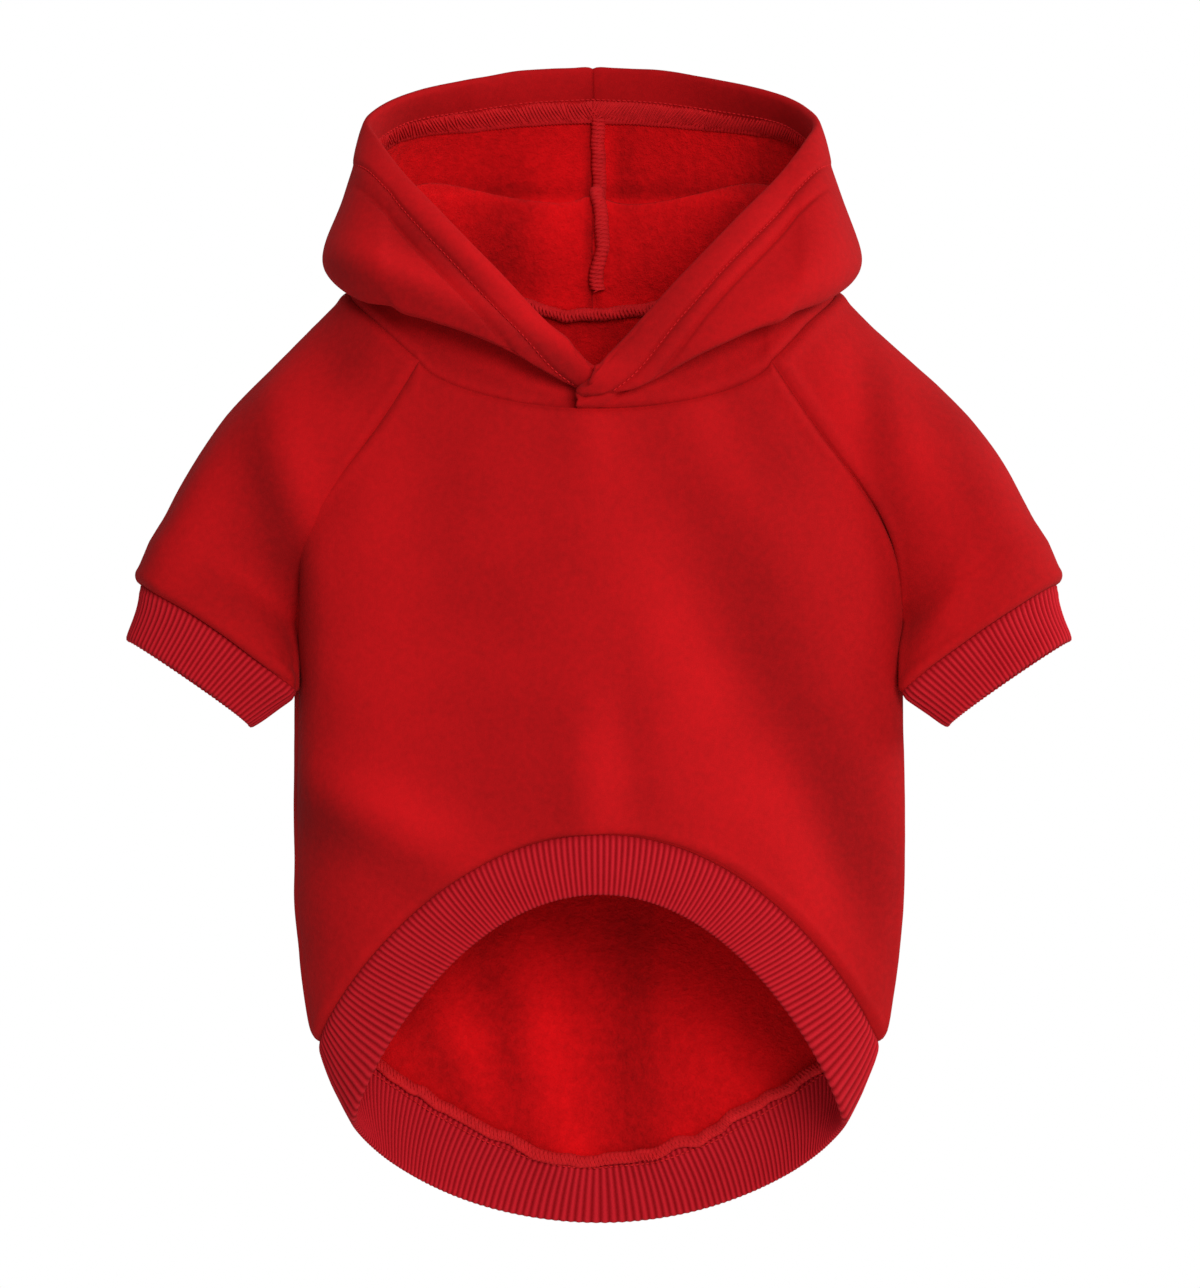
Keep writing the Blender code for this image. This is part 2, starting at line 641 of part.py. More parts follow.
def main():
    clear_objects()
    sleeve = sleeve_grid()
    cuff = cuff_grid()
    hood = hood_grid(0.0)
    shares = hood_shares()
    rim = np.zeros(hood.shape[:2])
    rim[-5:] = 1.0
    rim[-6] = 0.5
    rim = CLOTH + (RIM_CLOTH - CLOTH) * rim * np.clip(shares / 0.16, 0, 1)
    open_panel = SIDE_ROWS + RAGLAN_ROWS + 1
    # name: grid, row from which it is a ring, turn of its outside, thickness, seam edges, cloth
    pieces = {
        "belly_panel": (panel_grid(True, BELLY_DENTS), open_panel, 1, CLOTH, ("low", "high", "first", "last"), "jersey"),
        "back_panel": (panel_grid(False, BACK_DENTS), open_panel, 1, CLOTH, ("low", "high", "first", "last"), "jersey"),
        "right_sleeve": (sleeve, RAGLAN_ROWS, -1, CLOTH, ("low", "high", "first", "last"), "jersey"),
        "left_sleeve": (mirrored(sleeve), RAGLAN_ROWS, 1, CLOTH, ("low", "high", "first", "last"), "jersey"),
        "right_cuff": (cuff, 0, -1, RIB_CLOTH, ("low",), "rib"),
        "left_cuff": (mirrored(cuff), 0, 1, RIB_CLOTH, ("low",), "rib"),
        "hem_band": (band_grid(), 0, -1, RIB_CLOTH, ("low",), "rib"),
        "hood_right": (hood, len(hood), 1, rim, ("low", "last"), "jersey"),
        "hood_left": (mirrored(hood_grid(LAP)), len(hood), -1, rim, ("low", "last"), "jersey"),
    }
    facings = {}
    shared = {}
    pieces = {name: (leaned(piece[0]),) + piece[1:] for name, piece in pieces.items()}
    for name, (grid, closed, turn, thick, seams, cloth) in pieces.items():
        facing = normals(grid, closed, turn)
        facings[name] = facing
        weight = 2.0 if closed == RAGLAN_ROWS else 1.0
        for point, face in edge_points(grid, facing, closed):
            shared.setdefault(key(point), []).append(face * weight)
    for name, (grid, closed, turn, thick, seams, cloth) in pieces.items():
        facing = facings[name]
        for point, face in edge_points(grid, facing, closed):
            face[:] = unit(np.sum(shared[key(point)], axis=0))
        if name.endswith("_sleeve"):
            for j in range(facing.shape[1]):
                cell, part = divmod(j, SPLIT)
                if part:
                    near, far = facing[0, cell * SPLIT], facing[0, (cell + 1) * SPLIT]
                    facing[0, j] = near + (far - near) * part / SPLIT
        values = MATERIALS[cloth]
        solid(name, grid, facing, thick, closed, seams, make_material(name + "_" + cloth, values))


main()
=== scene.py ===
"""Small dog's red hoodie: fleece jersey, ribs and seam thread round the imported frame.

Metres, +Z up towards the hood, the belly side faces -Y, as in the frame.
"""

import bpy
import numpy as np
from bpy.props import FloatProperty, FloatVectorProperty, PointerProperty
from bpy.types import Operator, Panel, PropertyGroup
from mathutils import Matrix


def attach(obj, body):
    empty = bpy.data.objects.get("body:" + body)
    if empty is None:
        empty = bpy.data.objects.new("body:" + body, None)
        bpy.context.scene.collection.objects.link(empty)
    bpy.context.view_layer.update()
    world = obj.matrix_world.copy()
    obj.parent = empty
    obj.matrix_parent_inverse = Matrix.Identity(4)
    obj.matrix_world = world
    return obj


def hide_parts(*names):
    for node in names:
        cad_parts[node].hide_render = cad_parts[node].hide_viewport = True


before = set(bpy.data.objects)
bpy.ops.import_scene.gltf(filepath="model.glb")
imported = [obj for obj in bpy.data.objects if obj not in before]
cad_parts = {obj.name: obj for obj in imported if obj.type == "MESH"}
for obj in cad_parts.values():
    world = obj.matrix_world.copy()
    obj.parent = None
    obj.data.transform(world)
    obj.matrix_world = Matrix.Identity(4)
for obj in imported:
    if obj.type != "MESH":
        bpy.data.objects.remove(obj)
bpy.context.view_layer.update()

bl_info = {
    "name": "Dog Hoodie",
    "version": (1, 0, 0),
    "blender": (4, 5, 0),
    "location": "View3D > Sidebar > Hoodie",
    "description": "Builds a small dog's raglan hoodie in fleece jersey and rib",
    "category": "Object",
}

# Sizes of the pattern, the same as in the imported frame
HALF_WIDTH = 0.1158        # centre to side seam
BELLY_DEPTH = 0.0480       # centre plane to the belly's fullest line
BACK_DEPTH = 0.0455        # centre plane to the back's fullest line
SIDE_LENGTH = 0.2744       # neck centre down to the hem seam at the side
BELLY_LENGTH = 0.1928      # neck centre down to the hem seam on the belly
BACK_LENGTH = 0.3240       # neck centre down to the hem seam on the back
BAND_WIDTH = 0.0252        # ribbed hem band, seam to lower edge at the back
NECK_HALF_WIDTH = 0.0932   # neck opening, centre to shoulder
SLEEVE_REACH = 0.1459      # centre to the middle of the sleeve hem
SLEEVE_DROP = 0.1193       # neck centre down to the middle of the sleeve hem
SLEEVE_HALF = 0.0361       # half of the sleeve hem's long way
SLEEVE_DEPTH = 0.0190      # half of the sleeve hem's short way
SLEEVE_BULGE = 0.0046      # how far the shoulder line stands off its chord
ARM_RIDGE_OUT = 0.0516     # armpit to the sleeve's ridge at armpit level, sideways
ARM_RIDGE_UP = 0.0378      # the same, upwards
ARM_DEPTH = 0.0225         # half of the sleeve's short way at armpit level
SLEEVE_FORWARD = 0.0040    # the sleeve hem's middle in front of the centre plane
UNDER_FORWARD = 0.0100     # how far the sleeve hem's under side comes further forward
HEM_DIP = 0.0030           # how far the sleeve hem's front edge lies above its plane
SLEEVE_LIP = 0.0026        # how far the sleeve stands off the straight way to its hem
CUFF_LENGTH = 0.0206
CUFF_HALF = 0.0280
CUFF_FORWARD = 0.0050      # the cuff's lower ring in front of the centre plane
CUFF_UNDER_FORWARD = 0.0040
CUFF_DIP = 0.0026          # how far the cuff's front edge lies above its plane
CUFF_WAIST = 0.0018        # how far the cuff draws in below its seam on the outer side
BAND_TAPER = 0.0128        # how far the band draws in at each side over its width
BAND_SWELL = 0.0012        # how far the band bows outwards half way down
DENT_DEPTH = 0.0032        # deepest dent of the panels; the dents are shares of it
LEAN = 0.0025              # how far the body hangs to one side of the neck
LEAN_FALL = 0.0260         # drop over which most of that lean comes in
HOOD_HEIGHT = 0.1093       # neck centre to the rim's top
HOOD_HALF_WIDTH = 0.0877   # centre to the rim's side corner
HOOD_DEPTH = 0.0700        # centre plane to the rim's back
FOLD = 0.0100              # unit of the hood's roll and of the folds: their tables hold shares of it
CLOTH = 0.0020
RIB_CLOTH = 0.0025
LAP = 0.0054               # how far the left hood half tucks in behind the right

# drop: share of SIDE_LENGTH, wide: share of HALF_WIDTH
SIDE_SEAM = (
    (0.00, 1.000, 0.925),
    (0.03, 0.984, 0.948),
    (0.10, 0.948, 0.964),
    (0.22, 0.878, 0.986),
    (0.38, 0.780, 1.001),
    (0.55, 0.680, 1.000),
    (0.75, 0.560, 0.997),
    (1.00, 0.401, 1.000),
)
# wide: share of HALF_WIDTH, drop: share of SIDE_LENGTH, from armpit to neck corner
BELLY_RAGLAN = (
    (0.00, 1.000, 0.401),
    (0.12, 0.995, 0.354),
    (0.25, 0.977, 0.313),
    (0.40, 0.934, 0.270),
    (0.57, 0.855, 0.220),
    (0.74, 0.747, 0.161),
    (0.88, 0.651, 0.103),
    (1.00, 0.573, 0.052),
)
BACK_RAGLAN = (
    (0.00, 1.000, 0.401),
    (0.14, 0.990, 0.342),
    (0.30, 0.958, 0.278),
    (0.46, 0.900, 0.206),
    (0.62, 0.824, 0.134),
    (0.78, 0.720, 0.060),
    (0.90, 0.620, -0.010),
    (1.00, 0.520, -0.066),
)
# up: 0 at the hem seam, 1 at the neck; drop: share of the panel's length at the
# centre; deep: share of the panel's depth; arch: power of the cosine across the row
BELLY_ROWS = (
    (0.00, 1.000, 0.915, 1.66),
    (0.03, 0.985, 0.945, 1.66),
    (0.20, 0.850, 0.985, 1.60),
    (0.50, 0.545, 1.020, 1.30),
    (0.80, 0.315, 0.985, 0.95),
    (1.00, 0.169, 0.905, 0.62),
)
BACK_ROWS = (
    (0.00, 1.000, 0.930, 2.60),
    (0.03, 0.988, 0.955, 2.45),
    (0.25, 0.735, 0.985, 1.80),
    (0.50, 0.435, 1.010, 1.30),
    (0.80, 0.165, 0.980, 1.20),
    (1.00, -0.028, 0.895, 1.50),
)
# Soft dents pushed into the panels: across -1..1, up 0..1, half sizes, share of DENT_DEPTH
BELLY_DENTS = (
    (-0.62, 0.28, 0.22, 0.16, 0.94),
    (0.66, 0.26, 0.20, 0.18, 1.00),
    (-0.25, 0.52, 0.14, 0.30, 0.56),
    (0.30, 0.40, 0.16, 0.26, 0.50),
    (0.02, 0.78, 0.30, 0.12, 0.44),
)
BACK_DENTS = (
    (-0.45, 0.30, 0.16, 0.30, 0.69),
    (0.40, 0.34, 0.18, 0.30, 0.75),
    (0.00, 0.62, 0.30, 0.16, 0.50),
)
# Lower edge of the hem band against its seam, in turns of the half ring: how far each rib
# leans so that it stands square to the seam, and the power that places the most of it
BAND_LEAN = (
    (0.0583, 1.60),
    (-0.0667, 0.85),
)
# The neck seam over a sleeve: x share of NECK_HALF_WIDTH, y share of BELLY_DEPTH or
# BACK_DEPTH, z share of HOOD_HEIGHT; both ends are the panels' own corners
NECK_SIDE = (
    (0.25, 0.868, -0.520, 0.000),
    (0.50, 1.000, 0.000, 0.124),
    (0.75, 0.868, 0.530, 0.174),
)
# Sleeve from the neck (0) to the armpit (1): ridge, front and back stand-off from the
# straight way, shares of SLEEVE_BULGE
CAP_ROWS = (
    (0.00, 0.00, 0.00, 0.00),
    (0.15, 0.24, 0.28, 0.30),
    (0.35, 0.62, 0.62, 0.66),
    (0.58, 0.96, 0.72, 0.80),
    (0.80, 0.66, 0.46, 0.50),
    (1.00, 0.00, 0.00, 0.00),
)
# Sleeve from the armpit (0) to the hem seam (1): share of the way, stand-off all
# round and stand-off under the arm, shares of SLEEVE_LIP
TUBE_ROWS = (
    (0.16, 0.26, 0.95),
    (0.50, 0.78, 0.60),
    (0.86, 1.00, 0.25),
    (1.00, 0.00, 0.00),
)
# Hood roll at share s from the throat to the centre back, offsets in shares of FOLD
# from the neck seam: out and up of the crest, the lip, the bulge and the upper wall
HOOD_ROLL = (
    (0.000, 0.25, 0.50, 0.00, 0.40, 0.70, 0.52, 0.90, 0.62, 1.12),
    (0.100, 0.15, 0.95, 0.08, 0.50, 0.62, 0.72, 1.20, 0.72, 2.00),
    (0.200, 0.00, 1.50, 0.20, 0.62, 0.88, 0.92, 1.75, 0.62, 3.10),
    (0.300, -0.05, 1.90, 0.26, 0.70, 1.10, 1.06, 2.25, 0.34, 4.40),
    (0.400, -0.20, 2.10, 0.28, 0.70, 1.22, 1.22, 2.60, -0.15, 5.20),
    (0.455, -0.50, 2.00, 0.30, 0.58, 0.80, 1.22, 2.10, -0.02, 4.70),
    (0.510, -0.72, 2.30, 0.30, 0.20, 0.42, 1.05, 1.30, 0.12, 3.70),
    (0.565, -0.62, 3.70, 0.32, 0.70, 0.15, 1.75, 2.00, 1.55, 4.40),
    (0.620, -0.45, 4.40, 0.35, 1.40, 0.00, 2.75, 2.80, 2.60, 5.60),
    (0.800, -0.30, 4.38, 0.35, 2.20, 0.00, 3.50, 3.60, 3.30, 6.80),
    (1.000, -0.20, 4.60, 0.35, 2.50, 0.20, 3.80, 4.00, 3.60, 7.50),
)
# Hood rim: x, y, z as shares of HOOD_HALF_WIDTH, HOOD_DEPTH and HOOD_HEIGHT
HOOD_RIM = (
    (0.000, 0.012, -0.720, -0.150),
    (0.100, 0.152, -0.690, -0.042),
    (0.200, 0.373, -0.590, 0.152),
    (0.300, 0.642, -0.390, 0.380),
    (0.380, 0.832, -0.190, 0.548),
    (0.440, 0.932, -0.010, 0.662),
    (0.510, 0.992, 0.190, 0.750),
    (0.565, 0.930, 0.400, 0.816),
    (0.640, 0.790, 0.600, 0.880),
    (0.750, 0.555, 0.800, 0.940),
    (0.870, 0.290, 0.945, 0.985),
    (1.000, 0.000, 1.000, 1.000),
)
THROAT = 0.40
NAPE = 0.62
THROAT_LAP = 0.1           # each hood half's reach past the centre, share of the belly's neck row
ARMPIT = 0.5               # share of the side edge where the side seam ends
SLEEVE_OUT = 0.568         # the sleeve's way at its hem, sideways
SLEEVE_DOWN = 0.823        # the same, downwards
CUFF_DEPTH = 0.86          # the cuff's lower ring, share of SLEEVE_DEPTH
BAND_SIDE = 1.24           # the band's width at the sides, share of BAND_WIDTH
BAND_FRONT = 0.90          # the same at the belly's centre
BAND_FRONT_ARCH = 1.64     # power of the cosine of its lower edge in front
BAND_REAR_ARCH = 1.38      # the same behind
BAND_FRONT_DEPTH = 0.885   # the lower edge's depth in front, share of BELLY_DEPTH
BAND_REAR_DEPTH = 0.93     # the same behind, share of BACK_DEPTH
NECK_FRONT_DEPTH = 0.905   # the neck seam's depth in front, share of BELLY_DEPTH
NECK_REAR_DEPTH = 0.895    # the same behind, share of BACK_DEPTH
UNDER_CLOSE = 0.6          # how much closer the sleeve's under side lies to the body, share of SLEEVE_LIP

# Fine cells
ACROSS = 150               # across a panel
EDGE_ROWS = 150            # up a panel's edge, side seam and raglan seam together
AROUND = 112               # round a sleeve
TUBE_CELLS = 50
ROLL_CELLS = (8, 11, 11, 9, 22, 18, 42)
RIB_COLUMNS = 6            # columns to each rib
RIB_ROWS = 14              # down a cuff or the hem band

# Folds seen from the front: x share of HALF_WIDTH, z share of SIDE_LENGTH, lean of the
# lower end to the right in degrees, half length and half width shares of HALF_WIDTH,
# height share of FOLD, below zero for a valley
# The slopes of these three fold tables also set the painted light and shade in the cloth colour.
FRONT_FOLDS = (
    (-0.82, -0.45, 0, 1.00, 0.20, 0.62),
    (-1.36, -0.25, -22, 0.50, 0.12, 0.36),
    (0.58, -0.65, 20, 0.90, 0.32, -0.34),
    (0.54, -0.52, 28, 0.75, 0.16, -0.46),
    (0.80, -0.72, 14, 0.40, 0.13, -0.20),
    (0.40, -0.30, 32, 0.35, 0.12, -0.12),
    (-0.03, -0.64, 6, 0.25, 0.08, 0.14),
    (0.12, -0.60, 6, 0.25, 0.07, -0.12),
    (-0.52, -0.24, 0, 0.25, 0.16, -0.12),
    (-0.70, -0.68, 62, 0.30, 0.12, 0.66),
    (-0.02, -0.16, 10, 0.15, 0.09, 0.12),
    (0.47, -0.14, 20, 0.22, 0.11, -0.18),
    (-0.99, -0.23, 13, 0.45, 0.10, 0.42),
    (-0.85, -0.06, 20, 0.20, 0.14, -0.45),
    (-1.10, -0.39, 45, 0.20, 0.06, 0.12),
    (0.90, -0.14, 5, 0.28, 0.08, -0.20),
    (1.18, -0.21, 22, 0.30, 0.11, -0.24),
    (1.16, -0.38, -35, 0.16, 0.06, 0.22),
)
# How much higher the hood's lip hangs over the collar: seam share, left and right shares of FOLD
HOOD_LIFT = (
    (0.00, 0.00, 0.00),
    (0.06, 0.15, 0.00),
    (0.15, 0.90, 0.30),
    (0.25, 1.30, 0.80),
    (0.33, 1.20, 0.90),
    (0.40, 0.70, 0.45),
    (0.46, 0.00, 0.00),
    (1.00, 0.00, 0.00),
)
# The same for the front of the hood
HOOD_FOLDS = (
    (-0.48, 0.03, 65, 0.62, 0.07, 0.45),
    (-0.40, 0.08, 46, 0.60, 0.06, 0.30),
    (-0.45, -0.04, 65, 0.50, 0.06, 0.25),
    (0.40, 0.10, 0, 0.60, 0.30, 0.50),
)
# The same for the cloth seen inside through the hood and the hem
INSIDE_FOLDS = (
    (0.02, 0.21, 90, 0.55, 0.036, -0.34),
    (0.03, 0.03, 90, 0.26, 0.05, 0.20),
    (-0.19, 0.15, 0, 0.32, 0.14, 0.68),
    (0.57, 0.15, -20, 0.25, 0.08, 0.38),
    (0.08, 0.26, 0, 0.20, 0.05, -0.18),
    (0.75, 0.28, -35, 0.30, 0.12, 0.50),
    (-0.21, -1.03, 8, 0.50, 0.11, 0.42),
    (0.21, -1.02, 0, 0.50, 0.11, 0.32),
    (-0.46, -1.03, 25, 0.30, 0.09, 0.30),
    (0.36, -1.00, 8, 0.45, 0.18, 0.60),
    (-0.10, -1.19, 20, 0.10, 0.07, 0.25),
    (0.26, -1.18, 0, 0.10, 0.07, 0.25),
)

# Overlocked seams: width and height of the band, pitch of its threads and of its single loops
# as shares of the stitch pitch, lift, length and radius of a loop, slant of the threads and of
# the loops, and how far both wave aside
OVERLOCKS = {
    "hood_hem": (0.0098, 0.0010, 0.68, 0.68, 0.0010, 0.0094, 0.00042, 2.2, 1.05, 0.0),
    "neck": (0.0044, 0.0034, 0.80, 0.70, 0.0031, 0.0040, 0.00056, 1.2, 1.20, 0.0014),
    "hood_centre": (0.0050, 0.0026, 0.80, 0.70, 0.0020, 0.0050, 0.00040, 0.4, 1.10, 0.0026),
    "hem": (0.0044, 0.0018, 0.80, 0.80, 0.0016, 0.0044, 0.00040, 1.4, 1.10, 0.0020),
}
# Rows of single stitches: lift off the cloth, length and radius of a stitch, wave aside
STITCHES = {
    "hem_stitches": (0.0013, 0.0018, 0.00030, 0.0),
    "topstitch": (-0.0006, 0.0016, 0.00026, 0.0),
    "coverstitch": (0.0004, 0.0018, 0.00032, 0.0004),
}
# One stitch: share of its length, share of its radius and lift in radii of each ring
STITCH_RINGS = (
    (-0.50, 0.25, -0.6),
    (-0.28, 0.90, 0.5),
    (0.00, 1.00, 0.9),
    (0.28, 0.90, 0.5),
    (0.50, 0.25, -0.6),
)
STITCH_SIDES = 6
# Lamps: place, size, name of the power's property, colour
LAMPS = {
    "key_light": ((0.50, -1.68, 0.42), 0.8, "key_power", (1.0, 0.99, 0.97)),
    "rim_light": ((1.25, 0.10, 0.40), 0.6, "rim_power", (1.0, 1.0, 1.0)),
}
AIM = np.array([0.0, 0.0, -0.12])
FLOOR_RADIUS = 1.6
FLOOR_DROP = 0.75
FLOOR_CORNERS = 96
DARKEST_MOTTLE_AND_SHADE, PALEST_MOTTLE_AND_LIGHT = 0.62, 1.38    # darkest and palest share of the cloth colour, for its mottle and for the painted shade and painted light of the fold slopes
SEAM_GROOVE = 0.0009       # how far the cloth dips at a seam
PANEL_WELT = 0.0006        # how far it stands up beside a seam
SLEEVE_WELT = 0.0007
HOOD_WELT = 0.0003
SHEEN = 0.03
EVEN_OUT = 24              # smoothing passes over the pattern
COVERSTITCH_DROP = 0.0040  # from the hem seam down to the cover stitches
CENTRE_OVERLOCK_ASIDE = 0.0028
HEM_STITCH_INSET = 0.0046  # from the edge of the hood's turned hem to its stitches
FACING_START = 0.18        # seam share where the facing's overlock comes into view
TOPSTITCH_START = 0.06
NECK_OVERLOCK_START = 0.42  # seam share where the neck's overlock comes into view

RIGHT = np.array([1.0, 0.0, 0.0])
UP = np.array([0.0, 0.0, 1.0])
FRONT = np.array([0.0, -1.0, 0.0])
LEVEL = np.array([1.0, 1.0, 0.0])


def unit(vectors):
    length = np.linalg.norm(vectors, axis=-1, keepdims=True)
    return vectors / np.maximum(length, 1e-12)


def hermite(t):
    """Weights of a cubic leg: its start, the slope there, its end and the slope there."""
    return 2 * t ** 3 - 3 * t ** 2 + 1, t ** 3 - 2 * t ** 2 + t, 3 * t ** 2 - 2 * t ** 3, t ** 3 - t ** 2


def smooth_step(t):
    return t * t * (3 - 2 * t)


def along(table, column, share):
    """Shape-keeping cubic through one column of a table, first column the share."""
    x = np.array([row[0] for row in table])
    y = np.array([row[column] for row in table])
    share = np.clip(np.asarray(share, dtype=float), x[0], x[-1])
    step = np.diff(x)
    rise = np.diff(y) / step
    slope = np.zeros(len(x))
    slope[0] = rise[0]
    slope[-1] = rise[-1]
    for i in range(1, len(x) - 1):
        if rise[i - 1] * rise[i] > 0:
            w1 = 2 * step[i] + step[i - 1]
            w2 = step[i] + 2 * step[i - 1]
            slope[i] = (w1 + w2) / (w1 / rise[i - 1] + w2 / rise[i])
    k = np.clip(np.searchsorted(x, share, side="right") - 1, 0, len(x) - 2)
    start, leave, end, arrive = hermite((share - x[k]) / step[k])
    return start * y[k] + leave * step[k] * slope[k] + end * y[k + 1] + arrive * step[k] * slope[k + 1]


def through(points, rows):
    """Centripetal spline through stacked curves (k, n, 3), rows cells in each leg."""
    points = np.asarray(points, dtype=float)
    knots = np.sqrt(np.maximum(np.linalg.norm(np.diff(points, axis=0), axis=-1, keepdims=True), 1e-9))
    slope = np.zeros_like(points)
    for i in range(1, len(points) - 1):
        before = knots[i - 1]
        after = knots[i]
        slope[i] = ((points[i + 1] - points[i]) / after
                    - (points[i + 1] - points[i - 1]) / (before + after)
                    + (points[i] - points[i - 1]) / before)
    slope[0] = (points[1] - points[0]) / knots[0]
    slope[-1] = (points[-1] - points[-2]) / knots[-1]
    out = [points[0]]
    for i, cells in enumerate(rows):
        for j in range(1, cells + 1):
            start, leave, end, arrive = hermite(j / cells)
            out.append(start * points[i] + leave * knots[i] * slope[i]
                       + end * points[i + 1] + arrive * knots[i] * slope[i + 1])
    return np.array(out)


def eased(cells, pull):
    """Shares from 0 to 1 with closer steps at both ends."""
    t = np.linspace(0, 1, cells + 1)
    return t - pull * np.sin(2 * np.pi * t) / (2 * np.pi)


def panel_row(up, across, belly):
    """Points of one panel row: up 0 at the hem seam to 1 at the neck, across -1..1."""
    table = BELLY_ROWS if belly else BACK_ROWS
    length = BELLY_LENGTH if belly else BACK_LENGTH
    depth = (BELLY_DEPTH if belly else BACK_DEPTH) * along(table, 2, up)
    if up <= ARMPIT:
        t = up / ARMPIT
        edge_x = HALF_WIDTH * along(SIDE_SEAM, 2, t)
        edge_z = -SIDE_LENGTH * along(SIDE_SEAM, 1, t)
        reach = edge_x
        angle = np.pi / 2
    else:
        t = (up - ARMPIT) / (1 - ARMPIT)
        seam = BELLY_RAGLAN if belly else BACK_RAGLAN
        edge_x = HALF_WIDTH * along(seam, 1, t)
        edge_z = -SIDE_LENGTH * along(seam, 2, t)
        reach = HALF_WIDTH
        angle = np.arcsin(min(edge_x / HALF_WIDTH, 1.0))
    mid_z = -length * along(table, 1, up)
    across = np.asarray(across, dtype=float)
    arch = np.maximum(np.cos(np.pi / 2 * np.abs(across)), 0.0) ** along(table, 3, up)
    side = -1.0 if belly else 1.0
    return np.stack([reach * np.sin(angle * across), side * depth * np.cos(angle * across),
                     edge_z + (mid_z - edge_z) * arch], axis=-1)


def edge_shares():
    return eased(EDGE_ROWS, 0.55)


def panel_shares():
    return 2 * eased(ACROSS, 0.55) - 1


def panel_grid(belly, dents):
    across = panel_shares()
    ups = edge_shares()
    grid = np.array([panel_row(up, across, belly) for up in ups])
    up = ups[:, None]
    edge = np.clip((1 - np.abs(across)) / 0.15, 0, 1) * np.clip(np.minimum(up, 1 - up) / 0.10, 0, 1)
    push = sum(DENT_DEPTH * deep * np.exp(-((across - at) / wide) ** 2 - ((up - high) / tall) ** 2)
               for at, high, wide, tall, deep in dents)
    grid[:, :, 1] += (1.0 if belly else -1.0) * push * smooth_step(edge)
    return grid if belly else grid[:, ::-1]


def neck_arc(shares):
    """The neck seam over the right sleeve, from belly corner to back corner."""
    points = [panel_row(1.0, [0.8], True)[0], panel_row(1.0, [1.0], True)[0]]
    for _, wide, deep, high in NECK_SIDE:
        depth = BELLY_DEPTH if deep < 0 else BACK_DEPTH
        points.append(np.array([wide * NECK_HALF_WIDTH, deep * depth, high * HOOD_HEIGHT]))
    points += [panel_row(1.0, [1.0], False)[0], panel_row(1.0, [0.8], False)[0]]
    fine = 60
    curve = through(np.array(points)[:, None, :], [fine] * (len(points) - 1))[fine:-fine, 0]
    at = np.asarray(shares) * (len(curve) - 1)
    return np.stack([np.interp(at, np.arange(len(curve)), curve[:, i]) for i in range(3)], axis=-1)


def ring_turns():
    """Turn of each sleeve column: 0 under the arm, a quarter in front, a half on the ridge."""
    return eased(AROUND, 0.5) * 2 * np.pi


def sleeve_axes():
    """Ways along the right sleeve's hem and out of it."""
    along_hem = unit(np.array([SLEEVE_DOWN, 0.0, SLEEVE_OUT]))
    outward = unit(np.array([SLEEVE_OUT, 0.0, -SLEEVE_DOWN]))
    return along_hem, outward


def end_ring(turns, middle, half, depth, under_forward, dip):
    """Ring across the sleeve's end, tilted like its hem, its under side drawn forward."""
    along_hem, outward = sleeve_axes()
    long_way = -np.cos(turns)[:, None]
    short_way = np.sin(turns)[:, None]
    under = np.maximum(-long_way, 0.0)
    points = middle + along_hem * long_way * half + FRONT * (short_way * depth + under_forward * under ** 2)
    return points - outward * dip * np.maximum(short_way, 0.0)


def sleeve_hem(turns):
    middle = np.array([SLEEVE_REACH, -SLEEVE_FORWARD, -SLEEVE_DROP])
    return end_ring(turns, middle, SLEEVE_HALF, SLEEVE_DEPTH, UNDER_FORWARD, HEM_DIP)


def arm_ring(turns):
    """Ring of the right sleeve at armpit level, starting and ending at the armpit."""
    pit = panel_row(ARMPIT, [1.0], True)[0]
    across = np.array([ARM_RIDGE_OUT, 0.0, ARM_RIDGE_UP])
    long_way = (((1 - np.cos(turns)) * 0.5) ** 0.68)[:, None]
    return pit + across * long_way + FRONT * ARM_DEPTH * np.sin(turns)[:, None]


def sleeve_grid():
    """Right sleeve: rows from the neck to the hem, columns from the belly seam to the back seam."""
    ups = edge_shares()[EDGE_ROWS // 2:][::-1]
    front = np.array([panel_row(up, [1.0], True)[0] for up in ups])
    back = np.array([panel_row(up, [1.0], False)[0] for up in ups])
    turns = ring_turns()
    share = turns / (2 * np.pi)
    arc = neck_arc(share)
    arm = arm_ring(turns)
    near_front = ((1 - share) ** 3)[:, None]
    near_back = (share ** 3)[:, None]
    out_and_up = unit(np.array([ARM_RIDGE_OUT, 0.0, ARM_RIDGE_UP]))
    long_way = -np.cos(turns)[:, None]
    short_way = np.sin(turns)[:, None]
    swell = np.sin(np.pi * share)[:, None]
    rows = []
    for i, up in enumerate(ups):
        r = (1 - up) / (1 - ARMPIT)
        row = (1 - r) * arc + r * arm
        row = row + near_front * (front[i] - row[0]) + near_back * (back[i] - row[-1])
        ridge, face, rear = [SLEEVE_BULGE * along(CAP_ROWS, c, r) for c in (1, 2, 3)]
        row = row + out_and_up * ridge * np.maximum(long_way, 0)
        row = row + FRONT * swell * (face * np.maximum(short_way, 0) - rear * np.maximum(-short_way, 0))
        rows.append(row)
    end = sleeve_hem(turns)
    away = sleeve_axes()[0] * np.maximum(long_way, 0.0) + FRONT * short_way
    under = RIGHT * np.maximum(-long_way, 0.0) ** 2
    tube = ((0.0, 0.0, 0.0),) + TUBE_ROWS
    for way in eased(TUBE_CELLS, 0.5)[1:]:
        stand = along(tube, 1, way)
        off = along(tube, 2, way) - UNDER_CLOSE * np.sin(np.pi * way) ** 0.6
        rows.append((1 - way) * arm + way * end + (away * stand + under * off) * SLEEVE_LIP)
    return np.array(rows)


